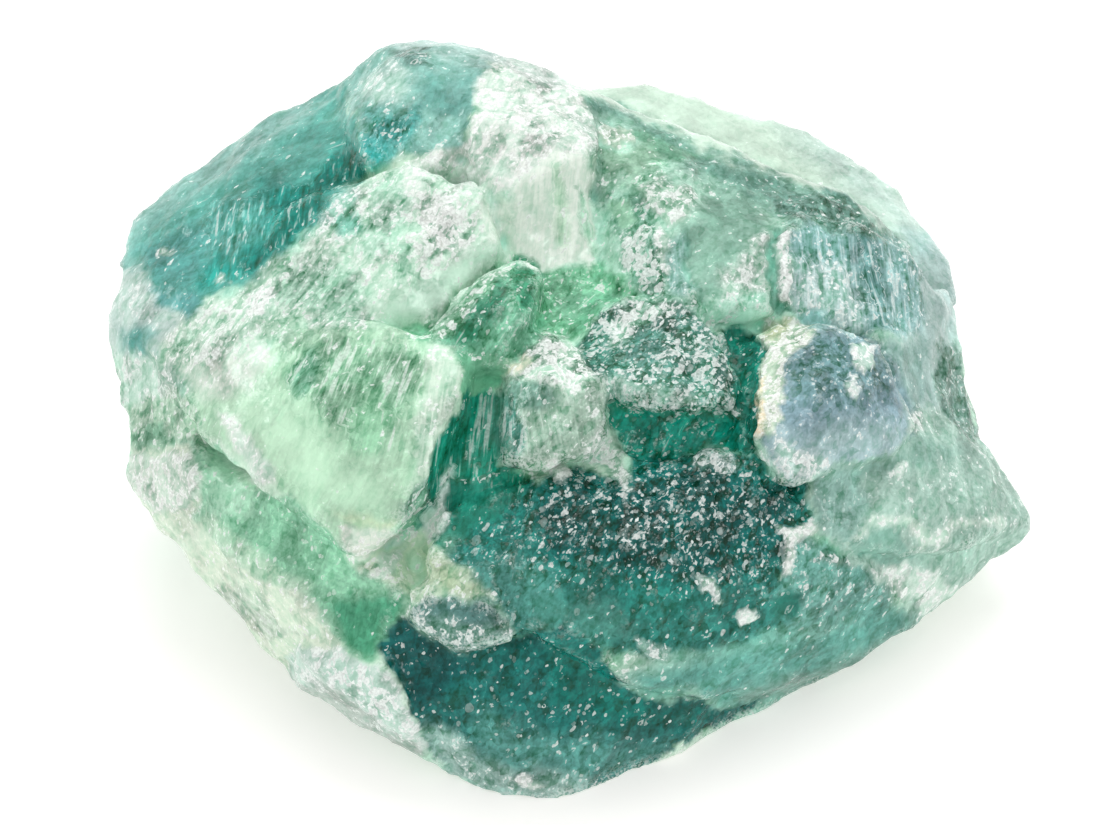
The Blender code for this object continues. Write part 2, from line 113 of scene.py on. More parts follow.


# Painted in this order, each patch over those before it. Each colour is the patch as it looks
# under the light, so the light and shade on it are painted in, and some patches that lie in
# deep shade are painted lighter to make up for it
ZONES = [
    zone("upper right", (166, 204, 186), [
        (3, 27), (12.5, 22.4), (21, 19.3), (30, 14.3), (34, 9), (34, 2), (30, -1), (17, 6),
        (12, 9), (4, 9), (-1, 12), (3.2, 12.5), (3.6, 21)], frost=0.2, grit=0.25),
    zone("rear slab", (196, 218, 202), [
        (2.2, 26.9), (4, 28), (9, 28), (12.5, 27), (17, 26.2), (20, 24.8), (24, 23.2),
        (26.8, 21), (30, 19.2), (33.4, 15), (35, 10), (34.6, 7), (31, 12.5), (28.5, 15),
        (26, 17), (24, 18.3), (21, 19.1), (18, 20.1), (15, 21.5), (12.5, 22.2), (10, 23.8),
        (8, 24.7), (5, 25.9)], frost=0.03, clear=0.05, grit=0.02, blur=0.3),
    zone("rear slab, right part", (180, 203, 194), [
        (18.5, 24.9), (24, 23.2), (27, 21), (33.4, 15), (35, 8), (31, 12), (28, 15.5),
        (26, 17.3), (22.5, 20.5)], frost=0.12, grit=0.08, blur=1.6),
    zone("rear slab, right end", (160, 196, 194), [
        (29.5, 15), (33.4, 14.6), (34.8, 10), (34, 6), (31, 7), (30.4, 12)],
        frost=0.05, grit=0.05, blur=1.4),
    zone("crest band", (98, 142, 128), [
        (2.2, 26.5), (5, 25.8), (8, 24.6), (10, 23.7), (12.5, 22.1), (15, 21.4), (18, 20),
        (21, 18.9), (24, 18.2), (26, 16.9), (28.5, 14.8), (30, 13.5), (28, 13.5), (24, 15.6),
        (20, 16.6), (16, 17.6), (12, 20.3), (9, 22), (6, 24.2), (3.5, 24.6)],
        frost=0.1, grit=0.22, blur=0.9),
    zone("crest, green part", (90, 138, 114), [
        (7, 24), (9.8, 22.7), (12, 22), (13.4, 21.3), (11, 20.9), (8.5, 21.3), (7.2, 22.6)],
        frost=0.08, grit=0.2),
    zone("crest chip", (188, 202, 188), [
        (4.5, 23.9), (7, 23.6), (7.2, 22.6), (5, 22.8), (4.2, 23.2)], frost=0.5, blur=0.25, rise=0.25),
    zone("upper patch", (126, 162, 140), [
        (4, 22.4), (8.6, 22), (9.6, 19.6), (7, 19.6), (4.4, 20)], frost=0.14, grit=0.2),
    zone("upper patch, shade", (148, 192, 168), [
        (3.8, 21.4), (4.6, 21.4), (4.8, 19.8), (6, 19.5), (8, 20.2), (9.6, 21.2), (9.4, 19.2),
        (4.4, 18.8)], frost=0.3, grit=0.5, lines=0.4, angle=100),
    zone("veil", (190, 212, 198), [
        (7.2, 19), (9.5, 19.4), (11.6, 18.4), (11.4, 16.8), (11, 16), (9.8, 15.6), (9, 16.4),
        (8, 18)], frost=0.6, lines=0.6, angle=-35, blur=0.4, rise=0.2),
    zone("broken grain", (122, 170, 150), [
        (5.2, 18.2), (8, 17.8), (9, 15.5), (9.8, 13), (10, 9.8), (8, 9.8), (6.4, 11.4),
        (5.8, 13.8), (5, 16)], frost=0.5, grit=0.85, lines=0.7, angle=105, blur=0.6),
    zone("broken grain, pale part", (150, 182, 168), [
        (5.6, 15.2), (7.4, 15.6), (8, 14), (7.4, 11.6), (6.4, 11.6), (6, 13)],
        frost=0.62, grit=0.5, lines=0.6, angle=105),
    zone("white column", (228, 236, 230), [
        (8.8, 15.6), (9.8, 14.8), (10, 12), (9.4, 11.2), (9, 13)],
        frost=0.7, lines=0.5, angle=98, blur=0.3, rise=0.2),
    zone("green pocket", (140, 184, 158), [
        (5.2, 17.7), (6.8, 17.6), (7.4, 15.9), (6, 15.2), (5.2, 16.2)], frost=0.08, grit=0.2, blur=0.4),
    zone("mid pane", (130, 172, 154), [
        (10, 14.4), (11.8, 16.4), (14, 19.2), (17.6, 17.6), (18.2, 14.5), (18, 12.5),
        (17.5, 9.8), (13, 9.2), (12, 9.4), (10, 9.9)], frost=0.08, blur=0.8),
    zone("pane, left strip", (146, 186, 178), [
        (10, 14.6), (11.3, 15), (11.6, 11.6), (12, 9.6), (10, 9.9)],
        frost=0.35, lines=0.6, angle=95, blur=0.4),
    zone("pane line", (138, 188, 170), [
        (11.2, 15.4), (11.6, 15.4), (11.9, 11.8), (13, 8.7), (12.5, 8.6), (11.4, 11.8)],
        frost=0.02, grit=0.05, blur=0.2, rise=-0.35),
    zone("pane frost", (188, 206, 196), [
        (14.6, 11.6), (15.6, 12.6), (17.3, 14), (18, 13.6), (18, 10.2), (16.5, 9.3),
        (14.6, 9.8)], frost=0.5, grit=0.3, lines=0.4, angle=75, blur=0.8),
    zone("pane chip", (220, 230, 224), [
        (17, 14.2), (17.8, 15.4), (18.4, 14.8), (18, 13.4)], frost=0.6, blur=0.3, rise=0.2),
    zone("pane foot", (164, 206, 188), [
        (10.2, 9.8), (13, 9.2), (17.5, 9.8), (18.4, 8.2), (17, 7.2), (13.5, 7), (11, 8.2)],
        frost=0.4, grit=0.5, blur=0.6),
    zone("green foot", (190, 242, 220), [
        (14, 7.4), (16.6, 8), (19, 8.2), (18.6, 6.7), (17.2, 6.5), (15, 6.7)], frost=0.1, grit=0.15),
    zone("speckled crest", (98, 138, 126), [
        (18.6, 17.6), (21.6, 18.2), (24.4, 17.6), (27, 15.6), (24.2, 14), (22, 15.2),
        (19.6, 15.8)], frost=0.2, grit=0.7, blur=0.7),
    zone("right edge", (164, 188, 184), [
        (30, 13.4), (33, 13.8), (34, 8), (34, 5), (32.4, -1.4), (30, 0), (29, 6), (30.6, 9)],
        frost=0.08, clear=0.08, blur=1.2),
    zone("fluted wall", (134, 172, 171), [
        (19.8, 15.2), (22, 15.8), (25, 15), (28.4, 14.4), (30.5, 12.5), (31.4, 9), (31, 6.4),
        (24, 6.9), (20.5, 8.3)], frost=0.3, grit=0.2, lines=0.9, angle=94),
    zone("flutes, pale part", (182, 206, 204), [
        (20, 13), (24.5, 12.4), (26, 9.6), (26, 7), (25, 6.8), (23, 7.8), (20.6, 8.4)],
        frost=0.4, lines=0.8, angle=92, blur=0.9),
    zone("flutes, dark part", (106, 152, 150), [
        (25.6, 15), (26.5, 14.8), (27.8, 10), (28.6, 7), (27.4, 7), (26.6, 10), (25.8, 12)],
        frost=0.12, grit=0.3, lines=0.9, angle=104),
    zone("flutes, teal foot", (142, 194, 190), [
        (20.6, 8.4), (22.2, 8.6), (23.4, 7.6), (22.8, 7), (20.8, 7.4)], grit=0.2, blur=0.4),
    zone("curved groove", (128, 182, 162), [
        (18.3, 16), (19.3, 15.6), (19, 13.5), (18.9, 11.5), (19.5, 9.7), (20.3, 8.4),
        (19.2, 7.9), (18.4, 9.6), (18, 11), (18.2, 13.4)],
        frost=0.03, clear=0.12, grit=0.2, lines=0.4, blur=0.25, rise=-0.4),
    zone("white strip", (236, 241, 238), [
        (19.2, 15.2), (20, 15.3), (19.9, 11.5), (20.3, 8.9), (19.6, 9.4), (19, 11.4),
        (19.1, 13.5)], frost=0.8, blur=0.2, rise=0.3),

    zone("blue block", (128, 156, 166), [
        (20, 4.8), (21.5, 6.6), (23, 7), (26, 6.6), (27.8, 5.6), (29.5, 3), (30.8, -1),
        (29.5, -2.8), (27.9, -3.5), (25, -3.9), (22, -4.9), (20, -5.9), (18.4, -4.3),
        (17.8, -2.4), (19, 0), (19.3, 2.5)], frost=0.12, grit=0.22, blur=0.3),
    zone("blue block, upper part", (104, 138, 142), [
        (20, 4.8), (21.5, 6.6), (23, 7), (26, 6.6), (28.4, 4.6), (28.6, 2), (25, 0.8),
        (20, 1)], grit=0.55, blur=1.2),
    zone("blue block, right side", (130, 162, 156), [
        (27.6, 5.6), (31, 6), (31.6, 2), (31, -1), (30.2, -1.2), (29.4, 2), (28.2, 4.4)],
        frost=0.1, blur=0.8),
    zone("blue block, lower part", (166, 192, 194), [
        (18.6, -1.6), (21, -2.2), (25, -0.6), (29.5, -0.8), (29.5, -2.8), (27.9, -3.5),
        (25, -3.9), (22, -4.9), (20, -5.9), (18.4, -4.3)], frost=0.25, grit=0.05, blur=1.2),
    zone("blue block, white foot", (212, 224, 224), [
        (19.4, -2.4), (21, -2.8), (23.4, -4), (22, -4.9), (20, -5.9), (18.6, -4.4)], frost=0.6, blur=0.6),
    zone("blue block, square flake", (206, 218, 214), [
        (25.3, 6), (27.2, 5.8), (27.2, 3.9), (26.4, 3.3), (25.5, 3.6), (25.2, 4.8)],
        frost=0.55, blur=0.2, rise=0.3),
    zone("blue block, small flake", (222, 232, 230), [
        (24.4, 2.6), (25.6, 3), (26, 1.8), (25.4, 1.2), (24.8, 1.5)], frost=0.55, blur=0.2, rise=0.25),
    zone("blue block, white side", (226, 230, 216), [
        (18.2, 7.6), (20.4, 7.6), (22.4, 6.9), (21, 6.1), (20, 5), (19.5, 3), (19.2, 0),
        (18.2, -2), (17.2, -2), (17.3, 2.5), (17.8, 5), (17.5, 6.6)], frost=0.65, blur=0.25),
    zone("iron stain, side", (255, 238, 204), [
        (17.1, 3.4), (17.9, 3.2), (17.7, 1.4), (17.9, 0), (17.5, -2.2), (16.8, -2),
        (17, 1)], frost=0.2, blur=0.25, rise=0.3),
    zone("iron stain, top", (182, 190, 160), [
        (17.5, 6.5), (18.6, 7.4), (20, 7.6), (19.4, 6.6), (18.4, 6.1)], frost=0.3),

    zone("mid green", (110, 172, 138), [
        (-0.8, 12.2), (2, 12), (4.5, 12.6), (6, 11.2), (7.5, 9.8), (5, 9.4), (4, 8),
        (2.5, 6.4), (0.2, 6), (-1, 7), (-1.6, 9)], frost=0.28, grit=0.45, lines=0.35, angle=40),
    zone("mid green, smooth part", (102, 164, 132), [
        (0.6, 9.6), (6, 9.9), (4.6, 8.8), (2.4, 7), (0.4, 7.8)],
        frost=0.12, clear=0.12, grit=0.3, lines=0.5, angle=40),
    zone("sparkling ledge", (86, 138, 126), [
        (2, 5.2), (3.4, 7), (4.4, 8.7), (8, 9.6), (10.5, 9.2), (11.5, 8), (13.8, 6.8),
        (15, 6.6), (15.2, 3), (16.8, 1), (16, 0.3), (12.5, 0.2), (7.5, 1), (5, 1.5),
        (4, 2.2), (2.8, 3.8)], frost=0.5, grit=1.0, lines=0.45, angle=62, blur=0.35),
    zone("ledge, white top", (180, 202, 192), [
        (5, 7), (7, 9.2), (9, 9.4), (10.3, 8.7), (9, 8), (7, 7.4), (6, 5.6), (4.8, 5.8)],
        frost=0.62, grit=0.6, lines=0.6, angle=60, blur=0.6),
    zone("ledge, dark hollow", (88, 146, 134), [
        (6.4, 5), (7.6, 7.2), (9.4, 6.8), (9.4, 5), (8, 4), (6.8, 4.2)],
        frost=0.3, grit=0.9, lines=0.5, angle=55, blur=0.4),
    zone("ledge, dark left end", (62, 120, 106), [
        (2, 5), (3.2, 6), (5.8, 4.8), (6.4, 3.6), (4, 3), (2.8, 3.8)],
        frost=0.3, grit=0.9, lines=0.5, angle=50, blur=0.4),
    zone("ledge, frosted foot", (132, 168, 154), [
        (3.6, 2.6), (6, 3), (9.6, 2.2), (12.4, 1.6), (12, 0.4), (7.5, 1), (5, 1.5)],
        frost=0.32, grit=0.9, blur=0.6),
    zone("gap right of the ledge", (30, 122, 106), [
        (14.5, 7), (16, 7), (17.3, 6.4), (18, 5.2), (17.4, 3), (17, -1), (17.2, -3.5),
        (19, -6.2), (18, -6.5), (16.5, -4), (15.6, 0.6), (14.9, 3)],
        frost=0.12, clear=0.16, grit=0.5, lines=0.5, blur=0.25, rise=-0.5),
    zone("gap under the ledge", (22, 138, 120), [
        (4.6, 1.2), (8, 0.4), (14, 0.3), (16, -0.4), (16.8, -3.5), (13, -3), (9, -4),
        (6.6, -3.8), (5, -1.5)],
        frost=0.1, clear=0.16, grit=0.5, lines=0.5, angle=60, blur=0.35, rise=-0.5),
    zone("gap, speckled edge", (62, 130, 112), [
        (4.4, 1.6), (7.5, 0.9), (12.5, 0.7), (16, 0.6), (16, -0.2), (12, -0.1), (8, -0.1),
        (5, 0.6)], frost=0.45, grit=1.0, blur=0.3),

    zone("green wedge", (114, 176, 146), [
        (-2.6, 13.3), (-6, 11.1), (-8, 9.2), (-9.9, 7), (-9.7, 5.8), (-8, 5), (-5, 4.3),
        (-1.5, 4.8), (-0.6, 6.4), (-1, 8), (-1.2, 10), (-0.8, 12), (-1.8, 12.8)],
        frost=0.2, grit=0.35, lines=0.6, angle=56, blur=0.25),
    zone("wedge, dark middle", (48, 130, 100), [
        (-4.2, 11), (-3.2, 10), (-4.4, 7.6), (-6, 5.6), (-8, 5.5), (-8.4, 6.4), (-6.4, 8.6)],
        frost=0.1, clear=0.12, grit=0.4, lines=0.6, angle=56, blur=0.8),
    zone("wedge, dark tip", (56, 138, 104), [
        (-2.4, 13), (-1.2, 12), (-1.4, 9), (-2.4, 8.4), (-3, 10.6)], grit=0.3, lines=0.7, angle=62),
    zone("wedge, broken rim", (144, 190, 162), [
        (-2.6, 13.3), (-6, 11.2), (-9.9, 7), (-9.7, 5.9), (-8.6, 6.3), (-5.8, 9.6),
        (-3.2, 12)], frost=0.45, grit=0.9, blur=0.4),
    zone("wedge foot", (112, 178, 144), [
        (-7.8, 4.8), (-5, 4.1), (-3.6, 3.6), (-4.6, 2.2), (-6, 1), (-7.4, 0.2), (-7.8, 2)],
        frost=0.04, clear=0.12, grit=0.15, blur=0.3),

    zone("gully", (28, 132, 110), [
        (-7.7, 1.4), (-6.6, 1.4), (-4.6, 2.2), (-4.4, -1), (-3.9, -4.3), (-1.5, -5.5),
        (-1.6, -8), (-3.2, -12), (-6, -13), (-8, -12.5), (-9.5, -11), (-10.5, -9.6),
        (-13, -9.8), (-11, -6.5), (-9.6, -2.5), (-8.4, 0)],
        frost=0.06, clear=0.16, grit=0.2, lines=0.9, angle=83, blur=0.3, rise=-0.3),
    zone("gully, pale lines", (66, 130, 114), [
        (-5.6, 1), (-3.8, 2.2), (-2.4, 1.4), (-2.2, -3), (-4.2, -3.6), (-5.4, -2)],
        frost=0.1, lines=0.75, angle=84),
    zone("gully, lower part", (34, 124, 106), [
        (-9, -5.8), (-3.2, -5.2), (-3.4, -11), (-6, -13), (-8.8, -10)],
        frost=0.06, clear=0.16, grit=0.2, lines=0.4, angle=85, blur=0.7),
    zone("gully, grey foot", (96, 146, 128), [
        (-9, -10), (-6, -11.4), (-4.6, -12.6), (-4.2, -15), (-7, -15.2), (-9, -13)],
        frost=0.25, grit=0.2, lines=0.3, angle=70, blur=1.0),
    zone("gully, left white", (158, 200, 180), [
        (-13.4, -10), (-10.6, -6), (-10.2, -7.6), (-11.6, -10.6), (-12.8, -11.4)],
        frost=0.62, grit=0.3, lines=0.5, angle=55, blur=0.4),
    zone("gully, white streak", (242, 254, 248), [
        (-10.2, -8.6), (-9.2, -6.8), (-8.2, -4.2), (-8.6, -7.5), (-8.8, -9.6), (-9.8, -11),
        (-10.6, -10)], frost=0.5, grit=0.3, lines=0.5, angle=65, blur=0.4, rise=0.25),
    zone("gully crack", (66, 132, 116), [
        (-8.8, -5.7), (-6, -5.4), (-3.4, -4.7), (-1.6, -4.1), (-1.6, -4.4), (-3.4, -5),
        (-6, -5.7), (-8.8, -6)], frost=0.6, blur=0.15, rise=0.15),

    zone("slope", (36, 120, 110), [
        (-9, -13), (-2, -6), (0, -5), (2.4, -4.5), (6.5, -6), (6.6, -3.6), (9, -3.6),
        (16.5, -3.5), (19, -6), (21.2, -6), (22, -9), (21, -12), (20, -14), (20, -18),
        (14, -19.5), (10, -20), (5, -19.8), (2, -18.3), (-1, -18), (-3, -18.5),
        (-4.5, -16), (-7, -15.4), (-9, -15)], frost=0.16, grit=0.6),
    zone("slope, sparkling part", (8, 86, 82), [
        (-1.2, -6), (2, -5), (5.5, -6.2), (9, -4), (15, -4.6), (19, -6.4), (21, -8),
        (19.5, -10.5), (17.5, -13), (10, -14), (5, -12.5), (0, -12.5)], frost=0.3, grit=0.85, blur=1.2),
    zone("slope, left smooth part", (80, 144, 134), [
        (-8, -13), (-3, -11.5), (0, -13.2), (3, -15.2), (1.5, -17.6), (-1, -17.8),
        (-3.5, -17.4), (-4.5, -15.8), (-7, -15.4)], grit=0.35, lines=0.3, blur=1.3),
    zone("slope, lower part", (38, 114, 104), [
        (0, -13.5), (10, -15), (18, -14.6), (20, -18), (14, -19.6), (9, -20.5),
        (5, -20), (2, -18.3)], frost=0.1, grit=0.45, blur=1.2),
    zone("slope, left lower part", (72, 136, 124), [
        (-2, -15.5), (5, -15.6), (7, -18), (5, -19.6), (2, -18), (-1, -17.7)],
        frost=0.12, grit=0.2, blur=1.0),
    zone("slope, right part", (100, 152, 142), [
        (19.8, -11.6), (22, -10.5), (26, -12.8), (28.4, -14.5), (28.5, -17.2),
        (24, -17.8), (20, -18.5), (18.8, -16)], frost=0.22, grit=0.4, lines=0.3, angle=25, blur=0.9),
    zone("slope, green corner", (32, 112, 98), [
        (18.6, -15.8), (20.4, -15), (21.4, -15.4), (20.4, -17.4), (18.6, -17.2)],
        frost=0.04, clear=0.12, blur=0.4),
    zone("slope, lower rim", (94, 158, 146), [
        (10, -20.6), (14, -19.8), (19, -18.8), (24, -17.2), (27, -16), (30, -16.5),
        (31.4, -17.3), (30, -19), (28, -20.2), (25, -21.8), (22, -23), (18, -24.2),
        (14.5, -24.5), (12, -24), (8, -24), (5.5, -22)],
        frost=0.05, clear=0.12, grit=0.25, lines=0.25, angle=25, blur=1.3),
    zone("slope, pale lower edge", (106, 146, 134), [
        (16, -24.4), (22, -23), (25, -21.8), (28, -20.2), (31, -18), (33.4, -15.4),
        (31.4, -15.6), (29.2, -18), (26, -19.8), (22, -21.3), (16, -23.2)],
        frost=0.12, clear=0.08, blur=0.9),
    zone("slope, white corner", (246, 250, 246), [
        (19.2, -9.2), (20.5, -9.6), (22, -8.8), (22.3, -9.8), (21, -10.6), (20.6, -11.6),
        (20.3, -13), (19.2, -13.8), (19.6, -11.4)], frost=0.6, blur=0.3, rise=0.2),
    zone("slope, white spit", (112, 142, 134), [
        (22.2, -11.8), (23.4, -11.6), (25.6, -12.4), (27.4, -13.4), (26, -13.2),
        (23.4, -12.6)], frost=0.55, blur=0.3, rise=0.2),
    zone("flake, upper", (134, 166, 162), [
        (12.4, -3.2), (14, -3.1), (15.8, -4.4), (14.6, -5), (13, -4.6), (12.2, -4)],
        frost=0.55, grit=0.3, blur=0.2, rise=0.35),
    zone("flake, bent", (210, 228, 222), [
        (12.4, -13.6), (13.9, -14), (14.3, -15.8), (13.5, -15.2), (12.9, -14.4)],
        frost=0.6, blur=0.2, rise=0.3),
    zone("flake, lower", (240, 248, 244), [
        (15.6, -17.9), (15.5, -16.8), (16.3, -16.1), (17.2, -16.4), (17.4, -17),
        (16.5, -17.5)], frost=0.5, blur=0.15, rise=0.4),
    zone("flake, left", (150, 182, 174), [
        (6.8, -18.5), (8.2, -18.8), (9.6, -19.6), (10.2, -20.6), (8.4, -20.1),
        (7.4, -19.4)], frost=0.5, blur=0.2, rise=0.3),

    zone("spur", (158, 188, 176), [
        (22, -4.8), (24, -4.2), (28, -3.8), (30.8, -1.2), (32, 0.4), (34, -1.2),
        (36.4, -2.6), (38.8, -6), (41, -9.2), (40.6, -10.4), (37, -12.8), (33.5, -15),
        (31, -17), (28, -14.4), (25.5, -13), (22.4, -10), (21.8, -7)],
        frost=0.2, clear=0.08, grit=0.15, blur=0.4),
    zone("spur, left part", (142, 180, 170), [
        (21.6, -6), (23.8, -4.4), (25.4, -5), (26.4, -8), (24.9, -10.9), (22.6, -9.8),
        (22, -7.5)], frost=0.12, clear=0.12, grit=0.3, lines=0.3, blur=0.8),
    zone("spur, upper band", (138, 174, 162), [
        (23.6, -4.3), (28, -3.9), (30.4, -2), (33, -2.4), (35, -3.2), (33, -4.4),
        (29, -5), (25.4, -5.4)], frost=0.12, blur=0.8),
    zone("spur, first notch", (124, 166, 152), [
        (24.6, -11), (27, -9.8), (28.6, -10), (30.6, -12.2), (29, -13), (26.4, -12.4)],
        frost=0.06, clear=0.12, grit=0.12, blur=0.25),
    zone("spur, second notch", (146, 180, 166), [
        (31, -12), (34.8, -9.7), (37.4, -9.9), (40, -9.9), (38, -11.8), (34.5, -13.8),
        (31.6, -12.8)], frost=0.12, grit=0.15, lines=0.4, angle=85, blur=0.3),
    zone("spur, white ridge", (216, 231, 221), [
        (25, -10.7), (27, -9.6), (29.4, -9.3), (31.4, -11.6), (33.2, -10.4), (35, -9.5),
        (38, -9.7), (37.5, -9), (34.4, -8.9), (31.8, -10.2), (30, -8.8), (27, -9)], frost=0.45),
    zone("spur, white foot", (224, 235, 228), [
        (27, -13.2), (29.6, -12.6), (32.4, -13.6), (33.6, -14.8), (31.4, -16.6),
        (30.2, -15.6), (28.5, -15)], frost=0.5, grit=0.2),
    zone("spur, chip", (222, 234, 228), [
        (28.4, -4.8), (29.6, -4.2), (30, -4.8), (29, -5.4)], frost=0.5, blur=0.25, rise=0.2),
    zone("splinter", (118, 150, 140), [
        (32.2, 5.8), (33.8, 5.4), (34.8, 1), (36.4, -2.8), (34.6, -2), (33.2, -0.8),
        (32, 1.5), (32.4, 3.6)], frost=0.25, grit=0.45, lines=0.3, angle=100, blur=0.3),
    zone("splinter root", (184, 198, 192), [
        (30.2, 0.2), (31.2, 0), (31, -1.8), (30, -1.6)], frost=0.5, blur=0.4),

    zone("lower front", (22, 98, 92), [
        (-14.4, -18.2), (-12.5, -16.8), (-11.5, -17.6), (-10, -18.8), (-8, -19.7),
        (-6, -19.6), (-3, -18.6), (-1, -18), (2, -18.2), (4.4, -19.8), (6, -22.4),
        (7.6, -23.8), (10, -24), (13, -24), (14.2, -24.6), (17.4, -23.7), (15, -25.6),
        (12, -27.2), (9, -29), (6, -30.6), (3, -31.6), (0, -33), (-4, -32), (-8, -30.6),
        (-10.5, -28), (-10.8, -26.4), (-12.4, -23), (-14, -21)],
        frost=0.06, clear=0.1, grit=0.45, blur=0.3, rise=-0.2),
    zone("lower front, left part", (14, 86, 84), [
        (-14.4, -18.2), (-12.5, -16.8), (-11.5, -17.6), (-9, -19.2), (-6.5, -21),
        (-8.5, -23), (-10.5, -25), (-12, -23.2), (-13.8, -20.8)],
        frost=0.03, clear=0.12, grit=0.35, blur=0.9),
    zone("lower front, right part", (8, 104, 94), [
        (0, -18.8), (3, -19), (5.6, -22.6), (8.5, -24.4), (13.5, -24.8), (11, -26),
        (5, -26), (0, -24)], frost=0.03, clear=0.12, grit=0.4, blur=1.0),
    zone("lower front, foot", (78, 136, 128), [
        (-6, -25), (0, -27), (6, -27.4), (10, -27.6), (6, -30.6), (0, -32), (-4, -30),
        (-6.5, -28)], frost=0.12, grit=0.4, blur=1.4),
    zone("lower front, pale foot", (150, 182, 174), [
        (-10.8, -26.5), (-7.8, -26.4), (-6.5, -28.4), (-3.6, -29.6), (0, -30.2),
        (3, -30.4), (1, -33), (-4, -32), (-9, -30.4)], frost=0.28, grit=0.3, blur=0.9),
    zone("foot chip", (250, 252, 250), [
        (-2.8, -29.8), (-2, -30), (-0.6, -31.2), (-2.2, -31.4), (-3.4, -30.8)],
        frost=0.6, blur=0.2, rise=0.4),

    zone("lip flake", (128, 160, 154), [
        (-11.8, -17), (-11.2, -15.6), (-9.5, -15.1), (-7, -15.5), (-5, -16.2),
        (-3.8, -17.4), (-3, -18.5), (-4.6, -19), (-6.2, -19.7), (-8, -19.7),
        (-9.6, -18.9), (-11, -17.6)], frost=0.52, grit=0.2, blur=0.25, rise=0.3),
    zone("lip flake, grey part", (80, 122, 118), [
        (-10.4, -15.8), (-7, -15.6), (-5, -16.4), (-4, -17.6), (-6, -17.8), (-8, -17.2),
        (-10, -17.2)], clear=0.1, grit=0.25, blur=0.6),
    zone("ochre patch", (194, 212, 190), [
        (-13.5, -10.6), (-10.8, -9.8), (-9, -11.8), (-7.8, -12.8), (-6, -13.8), (-5, -15.4),
        (-8, -15.2), (-11.4, -15.4), (-12.6, -14.6), (-16.5, -13.8), (-15.8, -12.4)],
        frost=0.35, grit=0.35, blur=0.6),
    zone("ochre stain", (158, 178, 148), [
        (-11, -11.4), (-9.6, -12.2), (-7.6, -13.4), (-6, -14.2), (-6.2, -15), (-8.5, -14.4),
        (-10.4, -13.4)], frost=0.2, grit=0.3, blur=0.9),
    zone("white wedge", (240, 254, 242), [
        (-16.6, -13.6), (-14, -11.9), (-12, -11.2), (-13.4, -13.2), (-15.8, -14.1)],
        frost=0.5, blur=0.3, rise=0.2),

    zone("green facet", (138, 192, 162), [
        (-29.4, -3.6), (-27.6, -2.8), (-26.6, -5.4), (-24.4, -6.6), (-21, -7.4),
        (-18.4, -9.5), (-17.6, -11.4), (-16.2, -12.8), (-14, -14), (-12.2, -15),
        (-12, -16.4), (-13.6, -18.2), (-15, -20.6), (-17, -19.8), (-19.8, -15.8),
        (-23.5, -13.8), (-26, -11.8), (-29.4, -9.2), (-28.6, -6.4)],
        frost=0.14, grit=0.3, lines=0.25, angle=-20, blur=0.4),
    zone("facet, left part", (174, 218, 192), [
        (-28.6, -3.6), (-27.2, -3.8), (-25, -6.2), (-24.4, -8.6), (-27.8, -8.4)],
        frost=0.16, grit=0.3, blur=0.7),
    zone("facet, bright foot", (80, 158, 124), [
        (-18.6, -16), (-15, -15.4), (-12.2, -15.2), (-12.2, -16.4), (-13.8, -18),
        (-14.6, -20.2), (-16.8, -19.4)], frost=0.03, clear=0.12, grit=0.2, lines=0.3, blur=0.6),
    zone("facet, pale edge", (182, 214, 190), [
        (-29.4, -9.2), (-28.4, -8.2), (-26.4, -10.4), (-23.4, -12.4), (-20, -14.6),
        (-20, -16), (-24, -14), (-27, -12)], frost=0.3, grit=0.2, blur=0.7),
    zone("left notch", (166, 194, 174), [
        (-35.4, 0.6), (-32, 2.2), (-30.4, 1.6), (-29.4, -0.4), (-30, -2.2), (-32, -2.6),
        (-35, -3)], frost=0.3, grit=0.35, lines=0.3, angle=30),
    zone("notch, dark foot", (124, 170, 144), [
        (-34.8, -1.6), (-32, -1.2), (-31.4, -2.4), (-34.6, -2.9)], clear=0.12, grit=0.4),
    zone("notch, right side", (184, 214, 192), [
        (-30.4, 1.8), (-27.5, 1), (-27, -2), (-29.2, -3.4), (-30.2, -1.6)],
        frost=0.35, grit=0.5, lines=0.4, angle=70),
    zone("pale rim", (216, 230, 212), [
        (-35, -3), (-30.4, -2.6), (-29.4, -4.8), (-29.2, -7.4), (-29.8, -9), (-26.6, -12),
        (-23, -14.4), (-19.6, -16.4), (-17, -19.8), (-20, -20.8), (-23, -21.6),
        (-26, -18.2), (-28.4, -15.4), (-31, -12.6), (-33.4, -10), (-35, -6)],
        frost=0.28, lines=0.35, angle=-42, blur=0.4),
    zone("rim, white chunk", (228, 237, 228), [
        (-35, -3.3), (-31.8, -3.2), (-29.8, -4), (-29, -6), (-30, -7.8), (-33, -8.4),
        (-35, -6)], frost=0.5, blur=0.4, rise=0.2),
    zone("rim, green gap", (214, 230, 212), [
        (-29.6, -9.4), (-28.4, -10), (-30.4, -12.2), (-32, -10.8)], blur=0.6),
    zone("rim, grey band", (184, 202, 186), [
        (-28.4, -14.4), (-25, -14.8), (-22, -17.6), (-20.5, -18.6), (-23.4, -18.6),
        (-26.4, -17)], frost=0.25, lines=0.7, angle=-38),
    zone("rim, lower chunk", (206, 220, 214), [
        (-22, -20.6), (-20.8, -19.6), (-17.4, -19.8), (-14.6, -21), (-13.2, -22.4),
        (-12, -24.6), (-10.8, -26.4), (-10.4, -28.4), (-12, -29), (-15, -27),
        (-18, -25.6), (-22, -23)], frost=0.4, blur=0.3),
    zone("lower chunk, white part", (226, 238, 234), [
        (-18.8, -20.4), (-15.6, -21.2), (-13, -23.8), (-11, -26.8), (-12.6, -27),
        (-16, -24.2), (-18.4, -22.4)], frost=0.65, blur=0.6, rise=0.2),
    zone("lower chunk, blue edge", (170, 184, 176), [
        (-21, -22.6), (-18, -23), (-15.6, -25), (-13, -27), (-10.6, -28.4), (-12, -29),
        (-17, -26.4), (-21, -23.6)], clear=0.08, blur=0.7),

    zone("mint block", (174, 212, 184), [
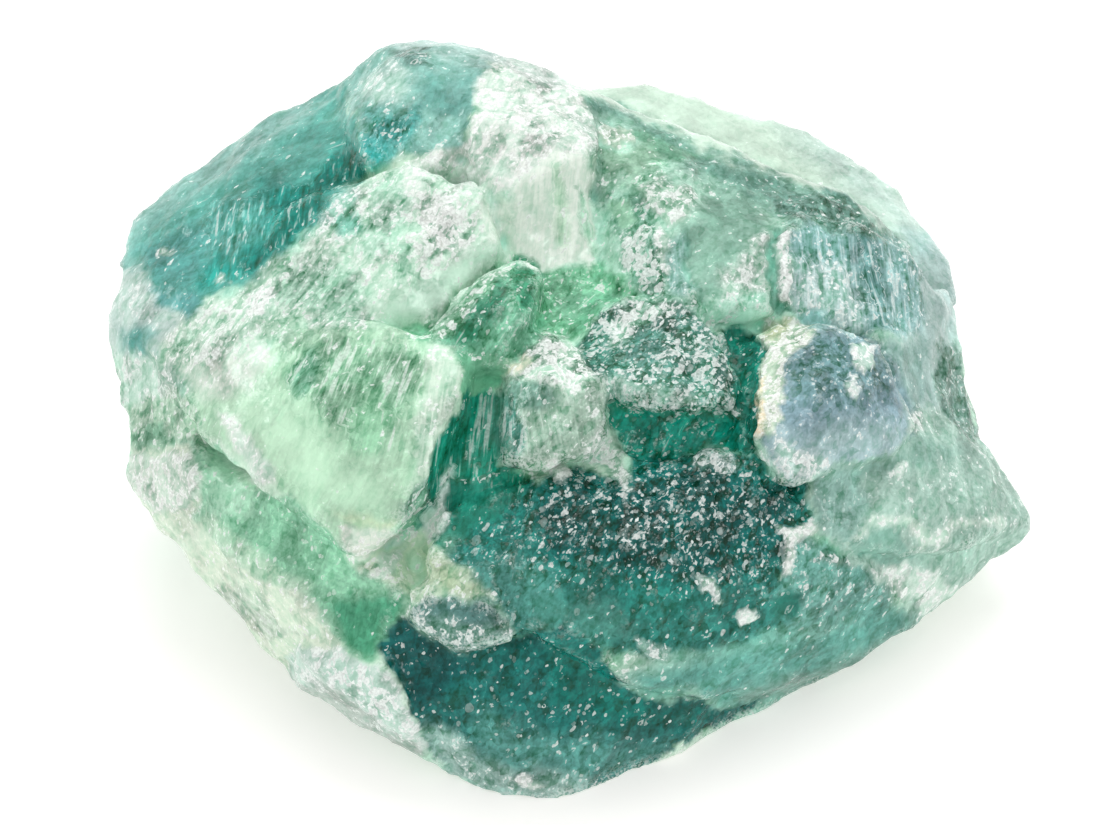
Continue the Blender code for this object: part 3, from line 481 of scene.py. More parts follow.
        (-30, 3), (-27, 4.6), (-23, 5), (-21, 7), (-17, 6.6), (-14, 7.5), (-11, 6.3),
        (-8.5, 5.5), (-7.7, 4), (-7.7, 1), (-8.8, -1), (-10, -4), (-12, -7.5),
        (-13.8, -10), (-16, -12.4), (-18, -10.5), (-20.4, -8), (-24, -6), (-26, -3.5),
        (-29, -1.5)], frost=0.14, grit=0.12, lines=0.5, angle=76, blur=0.3),
    zone("mint, green streaks", (136, 178, 150), [
        (-21.8, 5.4), (-20, 6.4), (-17, 6.3), (-12, 5.6), (-9.8, 4.4), (-10.6, 2),
        (-12.6, -0.6), (-15, -2.2), (-18.6, -0.6), (-20, 1.2), (-22, 2)],
        frost=0.2, grit=0.2, lines=0.95, angle=68, blur=0.9),
    zone("mint, dark streak", (112, 164, 138), [
        (-21.6, 4), (-19.8, 5.6), (-19, 4), (-20.4, 1.6), (-21.8, 1.4)],
        frost=0.2, grit=0.2, lines=0.9, angle=62, blur=0.7),
    zone("mint, second streak", (142, 190, 158), [
        (-17, 0.4), (-12.8, 0.2), (-13.4, -3), (-16.4, -4)], grit=0.15, lines=0.5, angle=76, blur=0.9),
    # Painted light: a paler patch where light shining through the mint block makes it glow
    zone("mint, glow", (192, 228, 200), [
        (-28, 2), (-22.4, 1.6), (-19.6, -1.6), (-17, -4), (-12.5, -5.2), (-13.4, -8),
        (-17, -8.5), (-21, -6.5), (-24, -4.5), (-27, -1)],
        frost=0.05, grit=0.04, lines=0.15, angle=60, blur=1.5),
    zone("mint, right edge", (212, 233, 216), [
        (-10, 5.9), (-8, 5.4), (-7.6, 3), (-7.8, 0.8), (-9, -1.4), (-10, -4), (-11.2, -6),
        (-11.4, -4), (-11.6, -1), (-10.6, 1.2), (-10, 3)], frost=0.3, grit=0.05, lines=0.7, angle=82),
    zone("mint, white crack", (234, 242, 235), [
        (-28.2, 0.2), (-26.2, -0.6), (-25, -2.2), (-23.6, -4.4), (-22.8, -6.4),
        (-24.6, -5.8), (-26.4, -3)], frost=0.5, blur=0.4),
    zone("mint, yellow foot", (198, 220, 188), [
        (-18, -8.2), (-14.5, -9), (-12.6, -8.8), (-13.8, -10.2), (-16.5, -9.6)], frost=0.1, blur=0.8),
    zone("mint, white foot", (236, 242, 232), [
        (-17.8, -9.4), (-15, -10), (-13.2, -10), (-12.4, -10.8), (-14.4, -11.6),
        (-16, -12.4), (-17, -11.5)], frost=0.4, blur=0.3),
    zone("mint, white left side", (226, 239, 227), [
        (-33, 4.5), (-29, 7.6), (-24, 6.4), (-23.4, 4.4), (-25, 2), (-29, 1),
        (-30.4, 2.6)], frost=0.35, blur=0.8),

    zone("frosted band", (208, 228, 214), [
        (-37.2, 8), (-33, 8.8), (-28, 9.6), (-24, 10.8), (-21, 13.6), (-18, 16.2),
        (-15, 19.2), (-12, 20.8), (-8, 21.6), (-4.6, 18.8), (-3.2, 14), (-3, 13.2),
        (-6, 11.3), (-9.9, 7.2), (-14, 7.9), (-17, 6.8), (-22, 7), (-24, 5.4),
        (-30, 3.6), (-33, 4), (-36, 4.6)], frost=0.45, grit=0.4, lines=0.5, angle=52),
    zone("band, large green patch", (164, 200, 180), [
        (-22.6, 12.4), (-19, 12.8), (-16, 12), (-15, 9.4), (-16.5, 7.6), (-20, 8.2),
        (-23.6, 9.2)], frost=0.25, grit=0.4, lines=0.6, angle=52, blur=1.0),
    zone("band, small green patch", (152, 192, 170), [
        (-12.8, 14.2), (-11.4, 13.8), (-11.3, 11.5), (-12.8, 10.8)],
        frost=0.2, grit=0.3, lines=0.5, angle=70),
    zone("band, patch at the panel", (222, 237, 224), [
        (-6.2, 17), (-4.6, 18.4), (-3.2, 17.6), (-3.1, 13.8), (-5.4, 14.6)],
        frost=0.18, grit=0.2, lines=0.4),
    zone("band, teal patch", (122, 182, 164), [
        (-18.8, 16.4), (-16.6, 17), (-15, 15.4), (-17.6, 14.2)],
        frost=0.25, grit=0.3, lines=0.5, angle=50, blur=0.7),
    zone("band, upper patch", (232, 246, 236), [
        (-7.4, 20.8), (-6, 20), (-5.9, 18.6), (-7.6, 19)], frost=0.25, grit=0.3, rise=0.4),
    zone("band, lower green", (158, 192, 170), [
        (-24, 8), (-20.6, 8.6), (-20.2, 6.6), (-22.4, 5.6), (-24.4, 6.4)], frost=0.3, grit=0.4, blur=0.8),
    zone("band, white grain", (224, 232, 226), [
        (-25.6, 9.6), (-23.6, 11), (-22.6, 10), (-23.4, 8.2), (-25.8, 8)], frost=0.7, grit=0.5),
    zone("band, white ridge", (180, 208, 200), [
        (-20, 16), (-17.4, 18.4), (-15.8, 18.8), (-16.6, 17), (-19.2, 15)],
        frost=0.7, grit=0.4, blur=0.4, rise=0.2),
    zone("band, soft middle", (184, 217, 199), [
        (-15.4, 19), (-13, 20), (-11, 18), (-11.8, 15), (-14, 12.8), (-16.6, 13.6),
        (-15, 16.4)], frost=0.35, grit=0.4, lines=0.4, angle=60, blur=0.9),
    zone("band, white middle", (250, 252, 248), [
        (-10.2, 17.4), (-8.4, 17.8), (-7, 15.6), (-7, 13.4), (-9, 13.4), (-10.2, 15)],
        frost=0.6, grit=0.3, lines=0.4, angle=60, blur=0.7),
    zone("band, smooth strip", (204, 234, 216), [
        (-14.4, 7.4), (-11.4, 7.7), (-9.6, 8.4), (-7, 10.9), (-3.4, 13.4), (-3.2, 14.6),
        (-7, 13), (-11, 10.5), (-14.2, 8.8)], frost=0.06, grit=0.05, blur=0.8),
    zone("left end, white", (188, 206, 200), [
        (-37, 12), (-33.5, 12.2), (-32, 9.6), (-30.2, 8.4), (-33, 7.6), (-37.2, 8.2)],
        frost=0.35, blur=0.4),
    zone("left end, lower part", (190, 210, 204), [
        (-37.4, 8.4), (-33, 8), (-30.8, 7.8), (-33, 5), (-36, 4.4), (-37.2, 6)], frost=0.2, blur=0.6),
    zone("left end, teal spot", (82, 153, 144), [
        (-35.7, 7), (-34.4, 7.3), (-33.2, 6.4), (-33.4, 5.2), (-34.8, 4.8), (-35.5, 5.6)],
        frost=0.12, blur=0.9),
    zone("left end, foot", (196, 216, 206), [
        (-36.4, 4.8), (-33, 5), (-31, 3), (-32, 1.4), (-35.6, 0.8), (-35.8, 3.4)],
        frost=0.36, grit=0.4, blur=0.6),

    zone("teal shoulder", (90, 160, 148), [
        (-37, 11.8), (-36.6, 14), (-35.4, 16.8), (-33, 18.4), (-29.5, 20.8), (-26, 23),
        (-22.6, 25.4), (-18, 28.2), (-17, 27.6), (-16.8, 25), (-15.8, 22), (-15.8, 19.4),
        (-18, 18), (-20, 15.8), (-22.6, 13), (-25, 11.2), (-27.8, 10), (-30, 8.6),
        (-32.4, 10.4), (-33.6, 12)], frost=0.07, clear=0.12, lines=0.15, angle=20, blur=0.4),
    zone("shoulder, outer edge", (138, 180, 172), [
        (-37, 12), (-36.6, 14), (-35.4, 16.8), (-33, 18.4), (-29.5, 20.8), (-26, 23),
        (-22.6, 25.4), (-19.6, 27), (-20.6, 25), (-25, 21.2), (-29, 18.6), (-32.6, 16.4),
        (-34.6, 14), (-34.8, 12)], frost=0.1, blur=1.3),
    zone("shoulder, dark band", (38, 154, 142), [
        (-16.2, 21.8), (-17.6, 22), (-18.6, 20.6), (-20.4, 19), (-23.6, 19), (-26, 17),
        (-27.6, 13.6), (-29.8, 11.8), (-29.6, 10.6), (-27.4, 10.4), (-25, 11.4),
        (-22.4, 13.2), (-19.8, 16), (-18.4, 18.2), (-15.9, 19.4)],
        frost=0.06, clear=0.16, grit=0.12, lines=0.7, blur=1.1),
    zone("shoulder, pale lines", (82, 158, 148), [
        (-28, 17.8), (-23.6, 18.4), (-23.8, 15), (-26, 12.6), (-28.6, 13.4)],
        frost=0.1, lines=0.95, blur=0.9),
    zone("shoulder, darkest", (4, 118, 106), [
        (-16, 21.9), (-17.4, 22), (-18.4, 20.2), (-20.6, 18.6), (-22.2, 17.4),
        (-23, 14.8), (-25.8, 12.6), (-25.4, 11.8), (-22.2, 13.6), (-19.8, 16.2),
        (-18.2, 18.6), (-15.9, 19.5)], frost=0.05, clear=0.16, grit=0.15, lines=0.85, angle=82, blur=0.6),
    zone("shoulder, lower left", (86, 154, 147), [
        (-34.4, 13.6), (-28.8, 16.4), (-28.2, 13.8), (-29, 11.4), (-32.4, 11)],
        frost=0.14, grit=0.12, lines=0.25, angle=10, blur=0.9),
    zone("shoulder, blue foot", (94, 162, 158), [
        (-33.2, 10.6), (-29, 10), (-28.6, 8.8), (-30.4, 7.8), (-32.6, 9)], frost=0.12, blur=0.7),
    zone("shoulder, first chip", (238, 243, 239), [
        (-28, 11.4), (-27, 11.6), (-26.8, 10.8), (-27.6, 10.6)], frost=0.7, blur=0.25),
    zone("shoulder, second chip", (236, 246, 242), [
        (-32.8, 13.6), (-31.6, 13.8), (-31.4, 13.2), (-32.4, 13.2)], frost=0.6, blur=0.25),

    zone("knob", (126, 174, 164), [
        (-17.4, 28.2), (-15, 30.6), (-13.2, 31.4), (-10, 31.8), (-7.5, 31.4), (-4.5, 30.4),
        (-5.8, 28), (-6.4, 25), (-7, 22.4), (-10, 21.4), (-12.5, 21.6), (-15.6, 22),
        (-16.6, 24.8)], frost=0.14, clear=0.1, grit=0.15, blur=0.4),
    zone("knob, top edge", (164, 192, 186), [
        (-14, 31.4), (-10, 31.9), (-7.5, 31.4), (-4.4, 30.4), (-1.5, 29.4), (-4, 28.6),
        (-9, 29.9), (-13, 30.2)], frost=0.12, blur=0.7),
    zone("knob, grey veil", (94, 132, 124), [
        (-13.8, 30.3), (-10.4, 30.4), (-9.8, 29), (-11, 28.8), (-13, 29.6)],
        frost=0.2, grit=0.4, lines=0.4, angle=-20),
    zone("knob, white smear", (182, 208, 200), [
        (-15.8, 27.8), (-14.4, 28.2), (-13.4, 29.4), (-12.4, 28.8), (-11.4, 27),
        (-12.6, 26.2), (-15.2, 26)], frost=0.35, grit=0.15, blur=0.7),
    zone("knob, teal side", (110, 168, 158), [
        (-10.4, 28.6), (-6.4, 28.2), (-6.4, 25.8), (-8, 24.4), (-10.8, 25.2)], frost=0.06, blur=0.8),
    zone("knob, dark smear", (84, 172, 164), [
        (-15.2, 25.4), (-14.2, 25.2), (-12.6, 24.6), (-11, 25.2), (-10.8, 23.4),
        (-12.4, 21.8), (-14, 21.6), (-15, 23)], frost=0.22, grit=0.5, lines=0.6, angle=75, blur=1.0),
    zone("knob, cyan spot", (72, 196, 190), [
        (-15.8, 23), (-14.6, 22.8), (-13.2, 21.6), (-13.8, 20.9), (-15.4, 20.6)],
        frost=0.2, grit=0.4, lines=0.3, angle=70, blur=0.8),
    zone("knob, pale side", (142, 193, 182), [
        (-10.8, 24.8), (-7.6, 24.4), (-6.6, 22.6), (-8.4, 21.6), (-11, 22)], grit=0.2, blur=0.6),
    zone("white cap", (230, 236, 230), [
        (-6.2, 27.8), (-4.5, 29.4), (-1.5, 29.2), (0.5, 28.4), (2.4, 27.4), (2.8, 25.4),
        (4, 23.6), (3.8, 22), (3, 21), (0.6, 22), (-1, 20.4), (-3.4, 18.6), (-4.8, 18.4),
        (-6, 20.4), (-8.6, 20.8), (-10, 20.4), (-10.4, 19), (-9.6, 18), (-12, 18),
        (-12.8, 20.4), (-9, 21.8), (-6.6, 22.6), (-6.2, 25)],
        frost=0.42, grit=0.3, lines=0.5, angle=60, blur=0.4),
    zone("cap, grey top", (206, 218, 212), [
        (-4.6, 29.8), (-1.4, 29.3), (0.6, 28.4), (2.6, 27.4), (1.2, 26.6), (-2.5, 27.8)],
        frost=0.3, blur=0.6),
    zone("cap, shaded right", (206, 222, 213), [
        (1.4, 25.6), (3, 25), (4.2, 23.2), (3.6, 22.4), (2.2, 23.6)], frost=0.4, grit=0.2),
    zone("pale panel", (240, 250, 240), [
        (-3.4, 18.4), (-1, 20.4), (0.6, 22), (3.2, 21), (3.6, 17), (4, 13.6), (3.4, 12.2),
        (1.4, 12.5), (-1, 12.1), (-2.4, 13.1), (-3.1, 14)], frost=0.2, lines=0.5, angle=84, blur=0.35),
    zone("panel, green columns", (194, 222, 200), [
        (0.6, 21), (1, 21), (1.4, 17), (1.6, 14), (0.8, 14), (0.2, 17)],
        frost=0.2, grit=0.2, lines=0.8, angle=86),
    zone("panel, dark edge", (166, 200, 180), [
        (2.4, 18.6), (3, 18.4), (3.6, 15), (4.2, 13), (3.6, 12.6), (2.8, 14.6),
        (2.6, 16.4)], frost=0.3, grit=0.4, lines=0.7, angle=100, blur=0.3),

    zone("tooth", (152, 178, 162), [
        (-4.4, 2.4), (-2.8, 3.9), (-0.6, 6.4), (1.5, 6.1), (2.2, 5), (3, 3.5), (4.2, 2.3),
        (4.8, 0), (6, -3), (6.2, -5), (4.6, -3.4), (3.3, -3.1), (0, -4), (-1.7, -4.6),
        (-3.9, -4.2), (-4.2, -1)],
        frost=0.2, clear=0.1, grit=0.3, lines=0.55, angle=100, blur=0.25, rise=0.2),
    zone("tooth, shaded top", (106, 144, 130), [
        (-4.4, 2), (-2.8, 2.7), (-0.4, 2.2), (0.4, 1), (-1, 0.2), (-3.2, 0.6),
        (-4.2, -0.6)], grit=0.35, lines=0.4, angle=95, blur=0.6),
    zone("tooth, left pillar", (56, 118, 104), [
        (-4.3, 1.2), (-3, 1.4), (-2.4, -1), (-2.6, -4), (-3.9, -4)], grit=0.25, lines=0.9, angle=88),
    zone("tooth, broken top", (204, 218, 208), [
        (-3.6, 3.4), (-2.2, 4.6), (-0.6, 6.5), (1.6, 6.2), (2.6, 5), (3.2, 3.6),
        (4.2, 2.4), (3, 2.4), (1.6, 1), (0.8, 2), (-1, 2.6), (-2.8, 3)],
        frost=0.6, grit=0.6, lines=0.4, angle=110, blur=0.4, rise=0.15),
    zone("tooth, tan edge", (254, 246, 226), [
        (-3.6, 3.6), (-2.4, 4.8), (-1.6, 4.6), (-2.4, 3.8)], frost=0.3, blur=0.4, rise=0.2),
    zone("tooth, white tail", (200, 216, 206), [
        (3.6, -2.2), (4.6, -1.4), (5.4, -2.6), (6.1, -4), (6.6, -6.3), (5, -4.6),
        (3, -4.2), (2.4, -3.2)], frost=0.62, grit=0.3, blur=0.3, rise=0.15),
    zone("tooth, white foot", (246, 252, 246), [
        (-0.6, -4.2), (0.2, -3.6), (1.8, -5), (1, -5.6), (-0.2, -5)],
        frost=0.6, grit=0.3, blur=0.25, rise=0.4),
]

# The side turned away: colours that follow one another through the stone
FAR_COLOURS = [
    (28, 104, 96), (84, 160, 150), (128, 180, 160), (176, 216, 194), (205, 230, 211),
    (122, 184, 150), (58, 132, 112),
]


def linear(colour):
    """A colour from 0 to 255, as the linear values that a shader takes."""
    shares = np.asarray(colour, float) / 255
    return np.where(shares <= 0.04045, shares / 12.92, ((shares + 0.055) / 1.055) ** 2.4)


def smooth(value):
    """0 below 0, 1 above 1, and an even slope between."""
    value = np.clip(value, 0, 1)
    return value * value * (3 - 2 * value)


def noise_at(places, size, seed=0.0):
    """Even noise from about -1 to 1, with features of that size in millimetres."""
    offset = Vector((seed * 17.3, seed * 5.1, seed * 29.7))
    return np.array([noise.noise(Vector(p) / size + offset) for p in places])


def seen(places):
    """Across, up and near for places in the row's frame, all in millimetres."""
    offsets = places - np.array(LOOKS_AT)
    near = offsets @ np.array(NEAR)
    widening = (CAMERA_DISTANCE - near) / CAMERA_DISTANCE
    return offsets @ np.array(RIGHT) / widening, offsets @ np.array(UP) / widening, near


def depth_inside(points, outline):
    """How far inside an outline each point lies; negative outside."""
    corners = np.array(outline, float)
    nearest = np.full(len(points), np.inf)
    inside = np.zeros(len(points), bool)
    for start, end in zip(corners, np.roll(corners, -1, axis=0)):
        along = end - start
        share = np.clip((points - start) @ along / (along @ along), 0, 1)
        gap = points - start - share[:, None] * along
        nearest = np.minimum(nearest, np.hypot(gap[:, 0], gap[:, 1]))
        crosses = (start[1] > points[:, 1]) != (end[1] > points[:, 1])
        slope = along[0] / along[1] if along[1] else 0.0
        inside ^= crosses & (points[:, 0] < start[0] + (points[:, 1] - start[1]) * slope)
    return np.where(inside, nearest, -nearest)


def vertex_array(mesh, what):
    """A mesh's vertex places ("co") or directions ("normal"), one row for each vertex."""
    values = np.empty(len(mesh.vertices) * 3)
    mesh.vertices.foreach_get(what, values)
    return values.reshape(-1, 3)


def apply_modifiers(obj):
    graph = bpy.context.evaluated_depsgraph_get()
    mesh = bpy.data.meshes.new_from_object(obj.evaluated_get(graph))
    obj.modifiers.clear()
    obj.data = mesh


def fine_copy(node, name):
    """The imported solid's surface with small even faces, as a new object."""
    bm = bmesh.new()
    bm.from_mesh(node.data)
    bmesh.ops.remove_doubles(bm, verts=bm.verts, dist=0.001 * MM)
    mesh = bpy.data.meshes.new(name)
    bm.to_mesh(mesh)
    bm.free()
    stone = bpy.data.objects.new(name, mesh)
    bpy.context.scene.collection.objects.link(stone)
    fine = stone.modifiers.new("fine", "REMESH")
    fine.mode = "VOXEL"
    fine.voxel_size = FACE_SIZE * MM
    softer = stone.modifiers.new("softer", "SMOOTH")
    softer.iterations = SOFTEN_PASSES
    softer.factor = SOFTEN_SHARE
    apply_modifiers(stone)
    return stone


def paint_zones(places, facing):
    """Colour and traits of the stone at each place, as a dict of arrays."""
    across, up, near = seen(places)
    warp_across = 0.6 * noise_at(places, 2.6, 1) + 0.5 * noise_at(places, 1.0, 2)
    warp_up = 0.6 * noise_at(places, 2.6, 3) + 0.5 * noise_at(places, 1.0, 4)
    points = np.column_stack([across + warp_across, up + warp_up])

    far = noise_at(places, 15, 5) + 0.35 * noise_at(places, 5, 6)
    step = (far + 1.2) / 2.4 * (len(FAR_COLOURS) - 1) * 1.15 % (len(FAR_COLOURS) - 1)
    low = step.astype(int)
    share = smooth(step - low)[:, None]
    palette = linear(FAR_COLOURS)
    colour = palette[low] * (1 - share) + palette[low + 1] * share
    veil = smooth(1.6 * noise_at(places, 7, 7) + 0.4)
    traits = {
        "frost": 0.06 + 0.4 * veil,
        "clear": np.full(len(places), 0.07),
        "grit": 0.1 + 0.3 * smooth(0.3 + 1.2 * noise_at(places, 6, 8)),
        "lines": 0.45 * smooth(2 * noise_at(places, 9, 9)),
        "rise": np.zeros(len(places)),
    }
    angle = np.full(len(places), 80.0)
    front = smooth((facing + 0.25) / 0.3)
    for patch in ZONES:
        corners = np.array(patch["outline"], float)
        # Wide borders are drawn out further still, so small patches stay crisp
        border = patch["blur"] * (1 + patch["blur"])
        margin = border + 0.1
        boxed = np.all(points > corners.min(0) - margin, axis=1)
        boxed &= np.all(points < corners.max(0) + margin, axis=1)
        picked = np.flatnonzero(boxed & (front > 0))
        if not len(picked):
            continue
        depth = depth_inside(points[picked], patch["outline"])
        weight = smooth(depth / border + 0.5) * front[picked]
        colour[picked] += (linear(patch["colour"]) - colour[picked]) * weight[:, None]
        softer = smooth(depth / (1.5 * border) + 0.5) * front[picked]
        for trait in ("frost", "clear", "grit", "lines"):
            traits[trait][picked] += (patch[trait] - traits[trait][picked]) * softer
        steep = smooth(depth / 0.35 + 0.5) * front[picked]
        traits["rise"][picked] += patch["rise"] * steep
        angle[picked[weight > 0.5]] = patch["angle"]
    turn = np.radians(angle)
    along = across * np.cos(turn) + up * np.sin(turn)
    beside = up * np.cos(turn) - across * np.sin(turn)
    traits["grain"] = np.column_stack([along, beside, near])
    traits["colour"] = colour
    return traits


def cell_random(cells, seed, count):
    """Even random numbers from 0 to 1 for whole-numbered cells."""
    mixed = cells @ np.array([73856093, 19349663, 83492791]) + seed * 97531
    values = np.empty((len(cells), count))
    for column in range(count):
        mixed = (mixed + 7919) & 0xFFFFFFFF
        mixed = ((mixed ^ (mixed >> 15)) * 0x2C1B3C6D) & 0xFFFFFFFF
        mixed = ((mixed ^ (mixed >> 12)) * 0x297A2D39) & 0xFFFFFFFF
        values[:, column] = (mixed ^ (mixed >> 15)) / 0xFFFFFFFF
    return values


def facets(places, size, seed):
    """Height of a surface broken into small tilted hollow faces, and a random number for each.

    The height runs from about -0.5 to 0.5, for faces about that many millimetres wide.
    """
    scaled = places / size
    corner = np.floor(scaled).astype(np.int64)
    lowest = np.full(len(scaled), np.inf)
    chance = np.zeros(len(scaled))
    for step in itertools.product((-1, 0, 1), repeat=3):
        cells = corner + step
        numbers = cell_random(cells, seed, 8)
        gap = scaled - cells - numbers[:, :3]
        level = 0.9 * np.einsum("ij,ij->i", gap, numbers[:, 3:6] - 0.5)
        level += 0.6 * np.einsum("ij,ij->i", gap, gap) + 0.3 * (numbers[:, 6] - 0.5)
        lower = level < lowest
        lowest[lower] = level[lower]
        chance[lower] = numbers[lower, 7]
    return lowest, chance


# Cleavage directions of the stone, as rows: along a splinter, across it and through it
CLEAVAGE = np.array([
    (0.52, 0.58, 0.63),
    (-0.76, 0.65, 0.03),
    (-0.39, -0.49, 0.78),
])
# How long, wide and thick a splinter is beside the size it is given
SPLINTER = np.array([2.2, 0.8, 0.6])


def fracture_relief(places, traits):
    """How far the broken surface stands out at each place, in millimetres."""
    rough = 0.3 + 0.8 * traits["frost"] + 0.5 * traits["grit"]
    along = places @ CLEAVAGE.T / SPLINTER
    warped = along + 0.5 * noise_at(places, 3.0, 10)[:, None]
    height = 1.0 * facets(warped, 5.5, 1)[0] * (0.3 + 0.5 * rough)
    height += 0.7 * facets(warped, 2.6, 2)[0] * rough
    height += 0.35 * facets(places, 1.25, 3)[0] * rough
    height += 0.12 * noise_at(places, 0.8, 12) * rough
    fluted = noise_at(traits["grain"] * np.array([0.15, 1.0, 0.4]), 1.0, 14)
    height += 0.2 * fluted * traits["lines"]
    return height + traits["rise"]


def edge_sharpness(mesh, places, normals, passes):
    """How much each vertex stands out from its surroundings, positive on ridges."""
    ends = np.empty(len(mesh.edges) * 2, int)
    mesh.edges.foreach_get("vertices", ends)
    ends = ends.reshape(-1, 2)
    count = np.bincount(ends.ravel(), minlength=len(places))[:, None]

    def spread(values):
        total = np.zeros_like(values)
        for column in range(values.shape[1]):
            total[:, column] = np.bincount(
                ends[:, 0], values[ends[:, 1], column], len(places))
            total[:, column] += np.bincount(
                ends[:, 1], values[ends[:, 0], column], len(places))
        return total / count

    mean = places
    for _ in range(passes):
        mean = spread(mean)
    out = np.einsum("ij,ij->i", places - mean, normals)
    return spread(out[:, None])[:, 0]


def add_attribute(mesh, name, kind, values):
    """Stores a value for each vertex, where the material's nodes can read it."""
    attribute = mesh.attributes.new(name, kind, "POINT")
    field = {"FLOAT": "value", "FLOAT_VECTOR": "vector"}[kind]
    attribute.data.foreach_set(field, np.asarray(values, np.float32).ravel())


def light_around(node):
    """How much light reaches the solid's surface, beside what an open place gets.

    It returns a function of places, worked out from rays sent out of a coarse copy.
    """
    coarse = bpy.data.objects.new("coarse", node.data.copy())
    bpy.context.scene.collection.objects.link(coarse)
    even = coarse.modifiers.new("even", "REMESH")
    even.mode = "VOXEL"
    even.voxel_size = LIGHT_FACE_SIZE * MM
    apply_modifiers(coarse)
    places = vertex_array(coarse.data, "co")
    normals = vertex_array(coarse.data, "normal")
    tree = BVHTree.FromPolygons([Vector(p) for p in places],
                                [list(face.vertices) for face in coarse.data.polygons])
    total = np.zeros(len(places))
    weights = np.zeros(len(places))
    for ray in range(LIGHT_RAYS):
        height = 1 - (2 * ray + 1) / LIGHT_RAYS
        turn = ray * math.pi * (3 - math.sqrt(5))
        flat = math.sqrt(1 - height * height)
        way = np.array([flat * math.cos(turn), flat * math.sin(turn), height])
        facing = normals @ way
        brightness = SKY_LIGHT if height > 0 else TABLE_LIGHT
        for index in np.flatnonzero(facing > 0.02):
            start = Vector(places[index] + normals[index] * 0.0008)
            blocked = tree.ray_cast(start, Vector(way))[0] is not None
            total[index] += facing[index] * (STONE_LIGHT if blocked else brightness)
            weights[index] += facing[index]
    light = total / np.maximum(weights, 1e-6)
    light = np.where(places[:, 2] < 0.3 * MM, FOOT_LIGHT, light)
    finder = KDTree(len(places))
    for index, place in enumerate(places):
        finder.insert(Vector(place) / MM, index)
    finder.balance()
    bpy.data.objects.remove(coarse)

    def at(wanted):
        found = np.empty(len(wanted))
        for index, place in enumerate(wanted):
            near = finder.find_n(Vector(place), 4)
            shares = [1 / (distance + 0.3) ** 2 for _, _, distance in near]
            parts = [light[spot] * share for (_, spot, _), share in zip(near, shares)]
            found[index] = sum(parts) / sum(shares)
        return found

    return at


def break_surface(stone):
    """Gives the even surface its broken relief, then thins out the faces of flat places."""
    mesh = stone.data
    places = vertex_array(mesh, "co") / MM
    normals = vertex_array(mesh, "normal")
    traits = paint_zones(places, normals @ np.array(NEAR))
    above_foot = smooth(places[:, 2] / FOOT_HEIGHT)
    height = fracture_relief(places, traits) * above_foot
    places = places + normals * height[:, None]
    places[:, 2] = np.maximum(places[:, 2], 0.0)
    mesh.vertices.foreach_set("co", (places * MM).ravel())
    mesh.update()
    thinner = stone.modifiers.new("thinner", "DECIMATE")
    thinner.ratio = min(1.0, MOST_FACES / (2 * len(mesh.polygons)))
    apply_modifiers(stone)


def build_stone(node):
    """The stone's visible surface, painted and broken up, with its traits as attributes."""
    light_at = light_around(node)
    stone = fine_copy(node, "stone")
    break_surface(stone)
    mesh = stone.data
    mesh.shade_smooth()
    mesh.set_sharp_from_angle(angle=SHARP_EDGE)
    places = vertex_array(mesh, "co") / MM
    normals = vertex_array(mesh, "normal")
    traits = paint_zones(places, normals @ np.array(NEAR))
    ridge = edge_sharpness(mesh, places, normals, 5)
    broad = edge_sharpness(mesh, places, normals, 25)
    worn = smooth((ridge - 0.05) / 0.16) * 0.9 + smooth((broad - 0.25) / 0.8) * 0.3
    hollow = smooth((-ridge - 0.04) / 0.25) * 0.5 + smooth((-broad - 0.2) / 1.0) * 0.35
    # Painted shade: hollows get less broken white and fewer white specks, so they stay dark,
    # clear green
    traits["frost"] = traits["frost"] * (1 - 0.8 * hollow)
    traits["grit"] = traits["grit"] * (1 - 0.5 * hollow)
    clouds = noise_at(places, 4.5, 20) + 0.5 * noise_at(places, 2.0, 21)
    chance = facets(places @ CLEAVAGE.T / SPLINTER, 1.9, 4)[1] - 0.5
    shade = 1.0 + 0.3 * clouds + 0.45 * chance * (0.35 + traits["grit"] + traits["frost"])
    # Painted shade: hollows are darkened, red most and green least, as though their light had
    # passed through green stone
    hollow_painted_shade = np.power.outer(1.0 - 0.5 * hollow, [1.3, 0.2, 0.35])
    # Painted light: colours are lightened where less light reaches, standing in for light that
    # spreads inside the stone, so its shaded sides look nearly as bright as the rest
    spread = np.clip(light_at(places), LEAST_LIGHT, 1.0) ** -PAINTED_LIGHT_LIFT
    tone = traits["colour"] * (np.clip(shade, 0.5, 1.5) * spread)[:, None] * hollow_painted_shade
    middle = tone.mean(axis=1, keepdims=True)
    tone = np.maximum(middle + RICHNESS * (tone - middle), DARKEST)
    tone *= np.minimum(1.0, BRIGHTEST / tone.max(axis=1, keepdims=True))
    add_attribute(mesh, "tone", "FLOAT_VECTOR", tone)
    add_attribute(mesh, "grain", "FLOAT_VECTOR", traits["grain"])
    for name in ("frost", "clear", "grit", "lines"):
        add_attribute(mesh, name, "FLOAT", traits[name])
    add_attribute(mesh, "worn", "FLOAT", worn)
    return stone


# How much fluorite bends light, the colour that it lets through and how densely it absorbs the rest
FLUORITE_IOR = 1.434
PASSED_COLOUR = (0.35, 0.86, 0.76, 1)
ABSORPTION = 60.0


